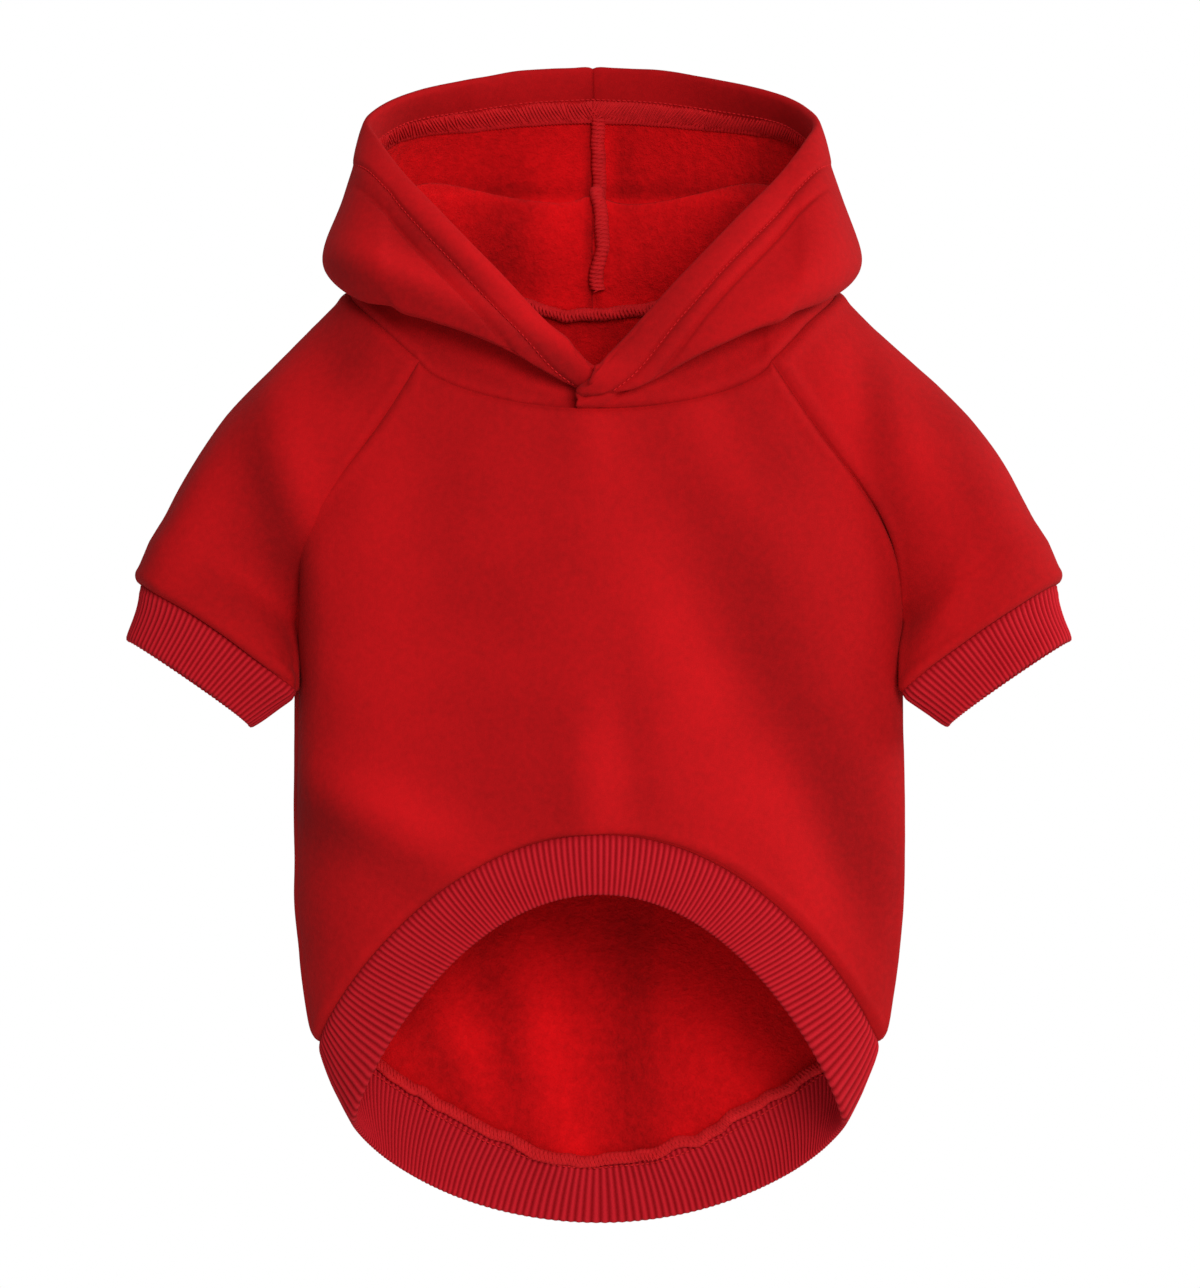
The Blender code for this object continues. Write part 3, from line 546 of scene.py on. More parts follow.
def cuff_grid():
    turns = ring_turns()
    along_hem, outward = sleeve_axes()
    middle = np.array([SLEEVE_REACH, -CUFF_FORWARD, -SLEEVE_DROP]) + outward * CUFF_LENGTH
    end = end_ring(turns, middle, CUFF_HALF, SLEEVE_DEPTH * CUFF_DEPTH, CUFF_UNDER_FORWARD, CUFF_DIP)
    waist = along_hem * np.maximum(-np.cos(turns), 0.0)[:, None] * CUFF_WAIST
    start = sleeve_hem(turns)
    ways = eased(RIB_ROWS, 0.3)
    return np.array([(1 - s) * start + s * end - waist * np.sin(np.pi * s ** 0.6) for s in ways])


def band_turn(turn):
    """Turn of the band's lower edge below each turn of the hem seam, 0 at the belly centre."""
    half = np.pi / 2
    out = np.minimum(np.abs(turn), 2 * np.pi - np.abs(turn))
    belly, back = [lean * np.pi * np.sin(np.pi * np.clip(x, 0, 1) ** power)
                   for x, (lean, power) in zip((out / half, (np.pi - out) / half), BAND_LEAN)]
    low = np.where(out <= half, out - belly, out + back)
    return np.where(turn > np.pi, 2 * np.pi - low, np.sign(turn) * low)


def band_grid():
    """Hem band: the top ring is the hem seam, columns round from the left side over the belly."""
    across = panel_shares()
    top = np.concatenate([panel_row(0.0, across, True), panel_row(0.0, across[::-1], False)[1:]])
    turn = np.concatenate([across * np.pi / 2, np.pi / 2 + (1 - across[::-1][1:]) * np.pi / 2])
    turn = band_turn(turn)
    wide = HALF_WIDTH * SIDE_SEAM[0][2] - BAND_TAPER
    edge_z = -SIDE_LENGTH - BAND_WIDTH * BAND_SIDE
    belly_z = -BELLY_LENGTH - BAND_WIDTH * BAND_FRONT
    back_z = -BACK_LENGTH - BAND_WIDTH
    c = np.cos(turn)
    front_arch = (belly_z - edge_z) * np.maximum(c, 0) ** BAND_FRONT_ARCH
    rear_arch = (back_z - edge_z) * np.maximum(-c, 0) ** BAND_REAR_ARCH
    z = edge_z + front_arch + rear_arch
    y = np.where(c > 0, -BELLY_DEPTH * BAND_FRONT_DEPTH * c, -BACK_DEPTH * BAND_REAR_DEPTH * c)
    low = np.stack([wide * np.sin(turn), y, z], axis=-1)
    rings = []
    for s in eased(RIB_ROWS, 0.3):
        ring = (1 - s) * top + s * low
        rings.append(ring + unit(ring * LEVEL) * BAND_SWELL * np.sin(np.pi * s))
    return np.array(rings)


def hood_shares():
    """Seam shares of the hood's columns, on the panels' and the sleeve's own columns."""
    across = panel_shares()
    front = np.concatenate([np.linspace(-THROAT_LAP, 0, 9)[:-1], across[ACROSS // 2:]])
    front = THROAT * (front + THROAT_LAP) / (1 + THROAT_LAP)
    over = THROAT + (NAPE - THROAT) * ring_turns()[1:] / (2 * np.pi)
    back = 1 - (1 - NAPE) * across[ACROSS // 2:][::-1][1:]
    return np.concatenate([front, over, back])


def hood_neck(shares):
    points = []
    for s in shares:
        if s <= THROAT + 1e-12:
            across = -THROAT_LAP + (1 + THROAT_LAP) * s / THROAT
            points.append(panel_row(1.0, [across], True)[0])
        elif s < NAPE - 1e-12:
            points.append(neck_arc([(s - THROAT) / (NAPE - THROAT)])[0])
        else:
            points.append(panel_row(1.0, [(1 - s) / (1 - NAPE)], False)[0])
    return np.array(points)


def hood_grid(tuck):
    """Right hood half, rows from the neck seam over the roll to the rim; tuck is set for the left."""
    shares = hood_shares()
    neck = hood_neck(shares)
    depth = np.where(neck[:, 1] < 0, BELLY_DEPTH * NECK_FRONT_DEPTH, BACK_DEPTH * NECK_REAR_DEPTH)
    facing = unit(np.stack([neck[:, 0] / NECK_HALF_WIDTH ** 2, neck[:, 1] / depth ** 2, 0 * shares], axis=-1))
    rim = np.stack([HOOD_HALF_WIDTH * along(HOOD_RIM, 1, shares), HOOD_DEPTH * along(HOOD_RIM, 2, shares),
                    HOOD_HEIGHT * along(HOOD_RIM, 3, shares)], axis=-1)
    (crest_out, crest_up, half, lip_out, lip_up, bulge_out, bulge_up,
     wall_out, wall_up) = [FOLD * along(HOOD_ROLL, i, shares) for i in range(1, 10)]
    lift = FOLD * along(HOOD_LIFT, 1 if tuck else 2, shares)
    crest_up, lip_up, bulge_up = crest_up + 1.1 * lift, lip_up + 0.95 * lift, bulge_up + 0.55 * lift
    crest_out, lip_out, bulge_out = crest_out - 0.45 * lift, lip_out + 0.30 * lift, bulge_out + 0.12 * lift
    flat = (rim - neck) * LEVEL
    drift = flat - facing * np.sum(flat * facing, axis=-1, keepdims=True)

    def place(out, up, lead):
        return neck + facing * out[:, None] + UP * up[:, None] + drift * lead

    legs = [
        neck,
        place(crest_out - half, crest_up * 0.55, 0.06),
        place(crest_out, crest_up, 0.12),
        place(crest_out + half, 0.5 * crest_up + 0.5 * lip_up, 0.15),
        place(lip_out, lip_up, 0.20),
        place(bulge_out, bulge_up, 0.40),
        place(wall_out, wall_up, 0.72),
        rim,
    ]
    grid = through(legs, ROLL_CELLS)
    if tuck:
        fade = np.clip((0.20 - shares) / 0.13, 0, 1)
        grid[:, :, 1] += tuck * smooth_step(fade)
        grid[:, :, 2] -= 0.7 * tuck * fade * np.exp(-np.arange(len(grid)) / 4)[:, None]
    return grid


def steps_across(grid, closed):
    across = np.gradient(grid, axis=1)
    join = (grid[closed:, 1] - grid[closed:, -2]) * 0.5
    across[closed:, 0] = join
    across[closed:, -1] = join
    return across


def normals(grid, closed, turn):
    up = np.gradient(grid, axis=0)
    if 0 < closed < len(grid) - 1:
        for j in (0, -1):
            up[closed, j] = grid[closed + 1, j] - grid[closed, j]
    return unit(np.cross(steps_across(grid, closed), up)) * turn


def key(point):
    return tuple(int(round(c * 2e5)) for c in point)


def edge_places(grid, closed):
    """Row and column of each point on an edge of the grid."""
    rows, cols = grid.shape[:2]
    for i in range(rows):
        for j in range(cols) if i in (0, rows - 1) else (0, cols - 1):
            if i in (0, rows - 1) or i <= closed:
                yield i, j


def share_facings(pieces):
    """Give points that lie on one seam the same facing on every piece."""
    shared = {}
    for piece in pieces.values():
        weight = 2.0 if piece["name"].endswith("sleeve") else 1.0
        for i, j in edge_places(piece["grid"], piece["closed"]):
            shared.setdefault(key(piece["grid"][i, j]), []).append(piece["facing"][i, j] * weight)
    for piece in pieces.values():
        for i, j in edge_places(piece["grid"], piece["closed"]):
            piece["facing"][i, j] = unit(np.sum(shared[key(piece["grid"][i, j])], axis=0))


def unevenness(points, size, seed):
    """Smooth value noise from -1 to 1 with cells of the given size."""
    scaled = points / size
    base = np.floor(scaled).astype(np.int64)
    part = smooth_step(scaled - base)
    total = np.zeros(points.shape[:-1])
    for corner in range(8):
        step = np.array([corner & 1, corner >> 1 & 1, corner >> 2 & 1])
        cell = base + step + 4096
        mixed = (cell[..., 0] * 374761393 + cell[..., 1] * 668265263 + cell[..., 2] * 974634777
                 + seed * 1442695041) & 0xFFFFFFFF
        mixed = ((mixed ^ (mixed >> 13)) * 1274126177) & 0xFFFFFFFF
        value = ((mixed ^ (mixed >> 16)) & 0xFFFF) / 32767.5 - 1
        total += value * np.prod(np.where(step == 1, part, 1 - part), axis=-1)
    return total


def fold_height(points, table):
    """Sum of soft ridges and valleys, one for each row of the table."""
    push = np.zeros(points.shape[:-1])
    for x, z, lean, long, wide, high in table:
        dx = points[..., 0] - x * HALF_WIDTH
        dz = points[..., 2] - z * SIDE_LENGTH
        a = np.radians(lean)
        s = (dx * np.sin(a) - dz * np.cos(a)) / (long * HALF_WIDTH)
        t = (dx * np.cos(a) + dz * np.sin(a)) / (wide * HALF_WIDTH)
        push += high * FOLD * np.exp(-s * s - t * t)
    return push


def towards_viewer(points, facing, hold):
    """Height of the folds towards the viewer, outside and inside."""
    front = np.clip(-facing[..., 1] * 2.0, 0, 1)
    rear = np.clip(facing[..., 1] * 2.0, 0, 1)
    outside = hold * fold_height(points, FRONT_FOLDS) + (1 - hold) * fold_height(points, HOOD_FOLDS)
    return front * outside + rear * fold_height(points, INSIDE_FOLDS)


def painted_fold_shading(points, facing, hold):
    """Painted light and shade for the cloth colour: how far the folds' slope turns towards a light from the
    upper right.
    """
    step = 0.001
    here = towards_viewer(points, facing, hold)
    aside = towards_viewer(points + RIGHT * step, facing, hold) - here
    above = towards_viewer(points + UP * step, facing, hold) - here
    return np.clip(-(aside + 0.5 * above) / step, -1.2, 1.2)


def relief(points, facing, strength, hold):
    """How far the cloth stands off its plain form: folds, less on the hood's layers, and an uneven hand."""
    seen = np.clip(np.abs(facing[..., 1]) * 2.5 - 1.0, 0, 1) * (0.3 + 0.7 * hold)
    height = towards_viewer(points, facing, hold) * np.where(facing[..., 1] < 0, seen, -seen)
    height += 0.0006 * unevenness(points, 0.043, 1) + 0.0003 * unevenness(points, 0.017, 2)
    return strength * (height + 0.0001 * unevenness(points, 0.007, 3))


def run_lengths(grid, axis):
    """Length run along rows or columns up to each point."""
    step = np.linalg.norm(np.diff(grid, axis=axis), axis=-1)
    none = np.zeros_like(np.take(step, [0], axis=axis))
    return np.concatenate([none, np.cumsum(step, axis=axis)], axis=axis)


def edge_distance(grid, sides):
    """Distance along the cloth to the nearest of the named edges."""
    rise = run_lengths(grid, 0)
    run = run_lengths(grid, 1)
    ways = {"low": rise, "high": rise[-1:] - rise, "first": run, "last": run[:, -1:] - run}
    return np.min([ways[side] for side in sides], axis=0)


def bump(distance, at, width):
    return np.exp(-((distance - at) / width) ** 2)


def mirrored(grid):
    return grid * np.array([-1.0, 1.0, 1.0])


def leaned(grid):
    """The body hangs a little to the right of the neck, as the worn garment does."""
    out = grid.copy()
    out[..., 0] += LEAN * (1 - np.exp(np.minimum(grid[..., 2], 0.0) / LEAN_FALL))
    return out


def smoothed(grid, amount, times):
    """Even out a grid both ways; amount, 0 to 1 at each place, keeps its edges."""
    for _ in range(times):
        near = grid.copy()
        near[1:-1] += 0.5 * (grid[2:] + grid[:-2]) - grid[1:-1]
        step = near.copy()
        step[:, 1:-1] += 0.5 * (near[:, 2:] + near[:, :-2]) - near[:, 1:-1]
        grid = grid + amount[..., None] * (step - grid) * 0.7
    return grid


def keep_edges(name, grid, closed):
    """How much each place of a grid may be smoothed: hoods all over, sleeves at the armpit ring."""
    rows, cols = grid.shape[:2]
    amount = np.zeros((rows, cols))
    if name.startswith("hood"):
        i = np.minimum(np.arange(rows), np.arange(rows)[::-1] + 1)[:, None]
        j = np.minimum(np.arange(cols), np.arange(cols)[::-1])[None, :]
        amount = np.clip(i / 6, 0, 1) * np.clip(j / 8, 0, 1)
    elif name.endswith("sleeve"):
        i = np.abs(np.arange(rows) - closed)[:, None]
        j = np.minimum(np.arange(cols), np.arange(cols)[::-1])[None, :]
        amount = np.clip(1 - i / 22, 0, 1) * np.clip((j - 3) / 12, 0, 1)
    return amount


def face_throat(pieces):
    """Turn the neck seam's facing to the front at the throat, where the hood halves lap."""
    throat = pieces["belly_panel"]["grid"][-1, ACROSS // 2]
    for name, edge in (("belly_panel", "high"), ("hood_right", "low"), ("hood_left", "low")):
        piece = pieces[name]
        off = np.linalg.norm(piece["grid"] - throat, axis=-1)
        near = np.exp(-(off / 0.014) ** 2 - edge_distance(piece["grid"], (edge,)) / 0.004)[..., None]
        piece["facing"] = unit(piece["facing"] * (1 - near) + FRONT * near)


def fold_piece(piece, values):
    """Push the folds into one piece and mark the painted light and shade from its fold slopes."""
    grid, facing = piece["grid"], piece["facing"]
    strength = values.fold_strength
    hood = piece["name"].startswith("hood")
    hold = np.exp(-edge_distance(grid, ("low",)) / 0.005) if hood else np.ones(grid.shape[:2])
    # Painted light and shade in the cloth colour, from the slope of the folds.
    piece["lay"] = painted_fold_shading(grid, facing, hold) * min(strength, 1.0)
    if hood:
        inside = facing[..., 1] > 0
        # Less painted light and shade on the turned hem inside the rim; a painted shadow beside the hood's
        # centre seam, stronger on the left half.
        plain = bump(edge_distance(grid, ("high",)), 0, values.hood_hem) * inside
        seam_shadow = 0.4 * bump(edge_distance(grid, ("last",)), 0.001, 0.0024) * inside
        seam_shadow_weight = 1.4 if piece["name"] == "hood_left" else 0.5
        piece["lay"] = piece["lay"] * (1 - 0.8 * plain) - seam_shadow * (1 - plain) * seam_shadow_weight
    piece["grid"] = grid + facing * relief(grid, facing, 0.8 * strength, hold)[..., None]


def cut_cloth(values):
    """Middle surface, facing and seam distances of every piece of cloth."""
    sleeve = sleeve_grid()
    cuff = cuff_grid()
    open_panel = EDGE_ROWS + 1
    around = ("low", "high", "first", "last")
    rows = {
        "belly_panel": (panel_grid(True, BELLY_DENTS), open_panel, 1, around),
        "back_panel": (panel_grid(False, BACK_DENTS), open_panel, 1, around),
        "right_sleeve": (sleeve, EDGE_ROWS // 2, -1, around),
        "left_sleeve": (mirrored(sleeve), EDGE_ROWS // 2, 1, around),
        "right_cuff": (cuff, 0, -1, ("low",)),
        "left_cuff": (mirrored(cuff), 0, 1, ("low",)),
        "hem_band": (band_grid(), 0, -1, ("low",)),
        "hood_right": (hood_grid(0.0), sum(ROLL_CELLS) + 1, 1, ("low", "last")),
        "hood_left": (mirrored(hood_grid(LAP)), sum(ROLL_CELLS) + 1, -1, ("low", "last")),
    }
    pieces = {}
    for name, (grid, closed, turn, seams) in rows.items():
        grid = leaned(smoothed(grid, keep_edges(name, grid, closed), EVEN_OUT))
        pieces[name] = {"name": name, "grid": grid, "closed": closed, "turn": turn, "seams": seams,
                        "facing": normals(grid, closed, turn)}
    share_facings(pieces)
    face_throat(pieces)
    for piece in pieces.values():
        piece["seam"] = edge_distance(piece["grid"], piece["seams"])
        fold_piece(piece, values)
    return pieces


CUT = {}


def cloth_piece(name):
    if not CUT:
        CUT.update(cut_cloth(bpy.context.scene.hoodie))
    return CUT[name]


def perimeter(rows, cols, closed):
    """Loops of edge places, each running the same way round the outside."""
    low = [(0, j) for j in range(cols)]
    high = [(rows - 1, j) for j in range(cols)]
    if closed == 0:
        return [low[:-1], high[:0:-1]]
    last = [(i, cols - 1) for i in range(1, min(closed, rows - 1) + 1)]
    first = [(i, 0) for i in range(min(closed, rows - 1) - 1, 0, -1)]
    if closed < rows:
        return [low + last + first, high[:0:-1]]
    return [low + last + high[-2::-1] + first]


def shell(name, piece, grid, outer, inner, free, materials, inner_face=None, marks=None):
    """Closed cloth with an outer and an inner skin and rounded free edges."""
    facing, closed = piece["facing"], piece["closed"]
    rows, cols = grid.shape[:2]
    count = rows * cols
    skins = [grid + facing * outer[..., None], grid - facing * inner[..., None]]
    points = [skins[0].reshape(-1, 3), skins[1].reshape(-1, 3)]
    number = np.arange(count).reshape(rows, cols)
    weld = number.copy()
    weld[closed:, -1] = weld[closed:, 0]
    weld = np.concatenate([weld.ravel(), weld.ravel() + count])
    a, b, c, d = number[:-1, :-1], number[:-1, 1:], number[1:, 1:], number[1:, :-1]
    front = np.stack([a, b, c, d], axis=-1).reshape(-1, 4)
    faces = [front, front[:, ::-1] + count]
    inner_face = np.ones(len(front), int) if inner_face is None else inner_face.ravel()
    kinds = [np.zeros(len(front), int), inner_face]
    run = run_lengths(grid, 1)
    rise = run_lengths(grid, 0)
    flat = np.stack([run, rise], axis=-1).reshape(-1, 2)
    flats = [flat, flat]
    extra = {k: [v.ravel(), v.ravel()] for k, v in (marks or {}).items()}
    total = 2 * count
    ring = 4
    for loop in perimeter(rows, cols, closed):
        at = np.array(loop)
        i, j = at[:, 0], at[:, 1]
        on_low, on_high = i == 0, i == rows - 1
        on_first, on_last = (j == 0) & (i <= closed), (j == cols - 1) & (i <= closed)
        if closed == 0:
            on_first = on_last = np.zeros(len(i), bool)
        inward = np.zeros((len(i), 3))
        for mask, di, dj in ((on_low, 1, 0), (on_high, -1, 0), (on_first, 0, 1), (on_last, 0, -1)):
            near = grid[np.clip(i + di, 0, rows - 1), np.clip(j + dj, 0, cols - 1)] - grid[i, j]
            inward += unit(near) * mask[:, None]
        face = facing[i, j]
        inward -= face * np.sum(inward * face, axis=-1, keepdims=True)
        away = -unit(inward)
        top, low = skins[0][i, j], skins[1][i, j]
        half = np.linalg.norm(top - low, axis=-1, keepdims=True) * 0.5
        loose = np.zeros(len(i))
        for side, mask in (("low", on_low), ("high", on_high), ("first", on_first), ("last", on_last)):
            if side in free:
                loose[mask] = 1.0
        lines = [number[i, j]]
        for k in range(1, ring):
            angle = np.pi * k / ring
            bow = face * np.cos(angle) + away * np.sin(angle) * loose[:, None]
            points.append((top + low) * 0.5 + half * bow)
            lines.append(total + np.arange(len(i)))
            weld = np.concatenate([weld, lines[-1]])
            flats.append(flat[number[i, j]])
            for k2, v in (marks or {}).items():
                extra[k2].append(v[i, j])
            total += len(i)
        lines.append(number[i, j] + count)
        for first, second in zip(lines[:-1], lines[1:]):
            quad = np.stack([np.roll(first, -1), first, second, np.roll(second, -1)], axis=-1)
            faces.append(quad)
            kinds.append(np.zeros(len(quad), int))
    faces = np.concatenate(faces)
    if piece["turn"] < 0:
        faces = faces[:, ::-1]
    flats = np.concatenate(flats)
    used, place = np.unique(weld[faces], return_inverse=True)
    faces_used = place.reshape(-1, 4)
    item = mesh_object(name, np.concatenate(points)[used], faces_used, np.concatenate(kinds), materials)
    layer = item.data.uv_layers.new(name="cloth")
    layer.data.foreach_set("uv", flats[faces.ravel()].ravel())
    for label, parts in extra.items():
        field = item.data.attributes.new(label, "FLOAT", "POINT")
        field.data.foreach_set("value", np.concatenate(parts)[used].astype(np.float32))
    return item


def mesh_object(name, points, faces, kinds, materials):
    mesh = bpy.data.meshes.new(name)
    size = faces.shape[1]
    mesh.vertices.add(len(points))
    mesh.vertices.foreach_set("co", np.asarray(points, dtype=np.float32).ravel())
    mesh.loops.add(faces.size)
    mesh.loops.foreach_set("vertex_index", faces.ravel().astype(np.int32))
    mesh.polygons.add(len(faces))
    mesh.polygons.foreach_set("loop_start", np.arange(0, faces.size, size, dtype=np.int32))
    mesh.polygons.foreach_set("use_smooth", np.ones(len(faces), bool))
    for material in materials:
        mesh.materials.append(material)
    mesh.polygons.foreach_set("material_index", np.asarray(kinds, dtype=np.int32))
    mesh.update(calc_edges=True)
    mesh.validate()
    item = bpy.data.objects.new(name, mesh)
    bpy.context.scene.collection.objects.link(item)
    return item


class Wire:
    """A shader socket that takes part in sums; node() adds any other node."""

    def __init__(self, tree, socket=None):
        self.tree = tree
        self.socket = socket

    def node(self, kind, settings, sockets, output=0):
        item = self.tree.nodes.new(kind)
        for label, value in settings.items():
            setattr(item, label, value)
        for label, value in sockets.items():
            if isinstance(value, Wire):
                self.tree.links.new(value.socket, item.inputs[label])
            else:
                item.inputs[label].default_value = value
        return Wire(self.tree, item.outputs[output] if item.outputs else None)

    def maths(self, operation, first, second):
        return self.node("ShaderNodeMath", {"operation": operation}, {0: first, 1: second})

    def __add__(self, other):
        return self.maths("ADD", self, other)

    def __radd__(self, other):
        return self.maths("ADD", other, self)

    def __sub__(self, other):
        return self.maths("SUBTRACT", self, other)

    def __rsub__(self, other):
        return self.maths("SUBTRACT", other, self)

    def __mul__(self, other):
        return self.maths("MULTIPLY", self, other)

    def __rmul__(self, other):
        return self.maths("MULTIPLY", other, self)


def made_material(name, look, values):
    """The named material; the look's function draws its nodes the first time."""
    material = bpy.data.materials.get(name)
    if not material:
        material = bpy.data.materials.new(name)
        material.use_nodes = True
        material.node_tree.nodes.clear()
        look(Wire(material.node_tree), values)
    return material


def finish_cloth(wire, color, rough, normal, sheen):
    shader = wire.node("ShaderNodeBsdfPrincipled", {}, {
        "Base Color": color, "Roughness": rough, "Normal": normal, "IOR": 1.42,
        "Sheen Weight": sheen, "Sheen Roughness": 0.55, "Sheen Tint": (1.0, 0.42, 0.42, 1.0),
        "Specular IOR Level": 0.12})
    wire.node("ShaderNodeOutputMaterial", {}, {"Surface": shader})


def grain(wire, scale, detail, rough, stretch=None):
    """Noise in the object's own metres."""
    place = wire.node("ShaderNodeTexCoord", {}, {}, 3)
    if stretch:
        place = wire.node("ShaderNodeVectorMath", {"operation": "MULTIPLY"}, {0: place, 1: stretch})
    return wire.node("ShaderNodeTexNoise", {}, {
        "Vector": place, "Scale": scale, "Detail": detail, "Roughness": rough})


def tone(wire, mask, low, high):
    """Mix two colours by a mask."""
    return wire.node("ShaderNodeMix", {"data_type": "RGBA"}, {0: mask, 6: (*low, 1.0), 7: (*high, 1.0)}, 2)


def shaded(color, factor):
    return tuple(c * factor for c in color)


def mark(wire, name):
    return wire.node("ShaderNodeAttribute", {"attribute_name": name}, {}, 2)


def ranged(wire, mask, low, high):
    return wire.node("ShaderNodeMapRange", {}, {"Value": mask, "From Min": low, "From Max": high})


def dented(wire, height, strength, distance):
    return wire.node("ShaderNodeBump", {}, {"Height": height, "Strength": strength, "Distance": distance})


def mottle_with_painted_shade(wire, values, color, shade, contrast, middle):
    """Mottled colour with painted light and shade: paler and darker by the folds' slope to the light."""
    shade = shade * contrast + mark(wire, "lay") * (values.painted_shade_strength / (PALEST_MOTTLE_AND_LIGHT - DARKEST_MOTTLE_AND_SHADE)) + middle
    return tone(wire, shade, shaded(color, DARKEST_MOTTLE_AND_SHADE), shaded(color, PALEST_MOTTLE_AND_LIGHT))


def jersey_look(wire, values):
    """Outside of the fleece: fine matt knit with small flecks."""
    knit = grain(wire, 1500.0, 2.0, 0.6, (1.0, 1.0, 0.55))
    fleck = grain(wire, 420.0, 3.0, 0.6)
    cloud = grain(wire, 26.0, 3.0, 0.5)
    shade = ranged(wire, cloud * 0.45 + fleck * 0.55, 0.32, 0.68)
    base = mottle_with_painted_shade(wire, values, values.jersey_color, shade, 0.37, 0.30)
    normal = dented(wire, knit * 0.6 + fleck * 0.5, 0.35, 0.0004)
    finish_cloth(wire, base, 0.80 + fleck * 0.12, normal, SHEEN)


def fleece_look(wire, values):
    """Brushed inside: soft mottled pile, deeper red."""
    pile = grain(wire, 900.0, 4.0, 0.7)
    tuft = grain(wire, 330.0, 4.0, 0.65)
    cloud = grain(wire, 60.0, 3.0, 0.6)
    shade = ranged(wire, tuft * 0.7 + cloud * 0.3, 0.35, 0.65)
    base = mottle_with_painted_shade(wire, values, values.fleece_color, shade, 0.42, 0.29)
    normal = dented(wire, pile * 0.6 + tuft * 1.0, 1.0, 0.0012)
    finish_cloth(wire, base, 0.86 + pile * 0.1, normal, SHEEN)


def rib_look(wire, values):
    """Ribbed knit: painted highlight on the crests, painted shade in the valleys, small stitches along each
    rib.
    """
    knit = grain(wire, 1100.0, 3.0, 0.6)
    cloud = grain(wire, 60.0, 2.0, 0.5)
    # The rib mark mixes the painted shade of the valleys with the painted highlight of the crests.
    mask = ranged(wire, mark(wire, "rib") * 0.8 + knit * 0.3 + cloud * 0.12, 0.22, 0.95)
    base = tone(wire, mask, values.rib_valley_shade_color, values.rib_crest_highlight_color)
    finish_cloth(wire, base, 0.84 + knit * 0.08, dented(wire, knit * 0.7, 0.45, 0.0005), SHEEN)


def thread_look(wire, values):
    """Red sewing thread with a faint twist."""
    twist = grain(wire, 1800.0, 2.0, 0.5)
    cloud = grain(wire, 300.0, 2.0, 0.5)
    base = tone(wire, cloud, shaded(values.thread_color, 0.72), shaded(values.thread_color, 1.2))
    finish_cloth(wire, base, 0.62 + twist * 0.1, dented(wire, twist, 0.5, 0.0003), SHEEN)


def floor_look(wire, values):
    speck = grain(wire, 60.0, 2.0, 0.5)
    base = tone(wire, speck, shaded(values.floor_color, 0.985), values.floor_color)
    finish_cloth(wire, base, 0.85 + speck * 0.05, (0, 0, 0), 0.0)


def cloth_materials(values):
    looks = (("red_jersey", jersey_look), ("red_fleece", fleece_look))
    return [made_material(name, look, values) for name, look in looks]


def dress(item, node, slot, flat, area, held, rests_on):
    """Tie a piece of cloth to the frame's root body and hide its node in the frame; slot, flat, area, held
    and rests_on are not used.
    """
    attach(item, "root")
    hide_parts(node)


def cut_size(piece):
    """Width, length and area of the flat cut, measured along the cloth."""
    grid = piece["grid"]
    cross = np.cross(grid[1:, :-1] - grid[:-1, :-1], grid[:-1, 1:] - grid[:-1, :-1])
    area = float(np.sum(np.linalg.norm(cross, axis=-1)))
    width = float(np.max(run_lengths(grid, 1)[:, -1]))
    length = float(np.max(run_lengths(grid, 0)[-1]))
    return (width, length), min(area, width * length)


def jersey_offsets(piece, values, lip):
    """Outer and inner stand-off of plain cloth with a groove and a soft edge at each seam."""
    seam = piece["seam"]
    half = values.cloth * 0.5
    outer = half - SEAM_GROOVE * bump(seam, 0, 0.0011) + lip * bump(seam, 0.0038, 0.0026)
    inner = half - 0.0003 * bump(seam, 0, 0.0015)
    return outer, inner


def build_cloth(name, lip, rests_on):
    """Plain jersey piece with grooved seams."""
    values = bpy.context.scene.hoodie
    piece = cloth_piece(name)
    outer, inner = jersey_offsets(piece, values, lip)
    item = shell(name + "_cloth", piece, piece["grid"], outer, inner, (), cloth_materials(values),
                 marks={"lay": piece["lay"]})
    dress(item, name, "jersey", *cut_size(piece), "draped", rests_on)


def spread(at, length, field):
    """Points or ways read at new lengths along their line."""
    return np.stack([np.interp(at, length, field[:, k]) for k in range(3)], axis=-1)


def resample_ring(piece, values):
    """Closed ring of cloth resampled to whole ribs, with the rib count run up to each column."""
    length = run_lengths(piece["grid"][:1], 1)[0]
    ribs = int(round(length[-1] / values.rib_pitch))
    at = np.linspace(0, length[-1], ribs * RIB_COLUMNS + 1)
    grid = np.array([spread(at, length, row) for row in piece["grid"]])
    facing = np.array([spread(at, length, row) for row in piece["facing"]])
    return grid, unit(facing), np.arange(len(at)) / RIB_COLUMNS


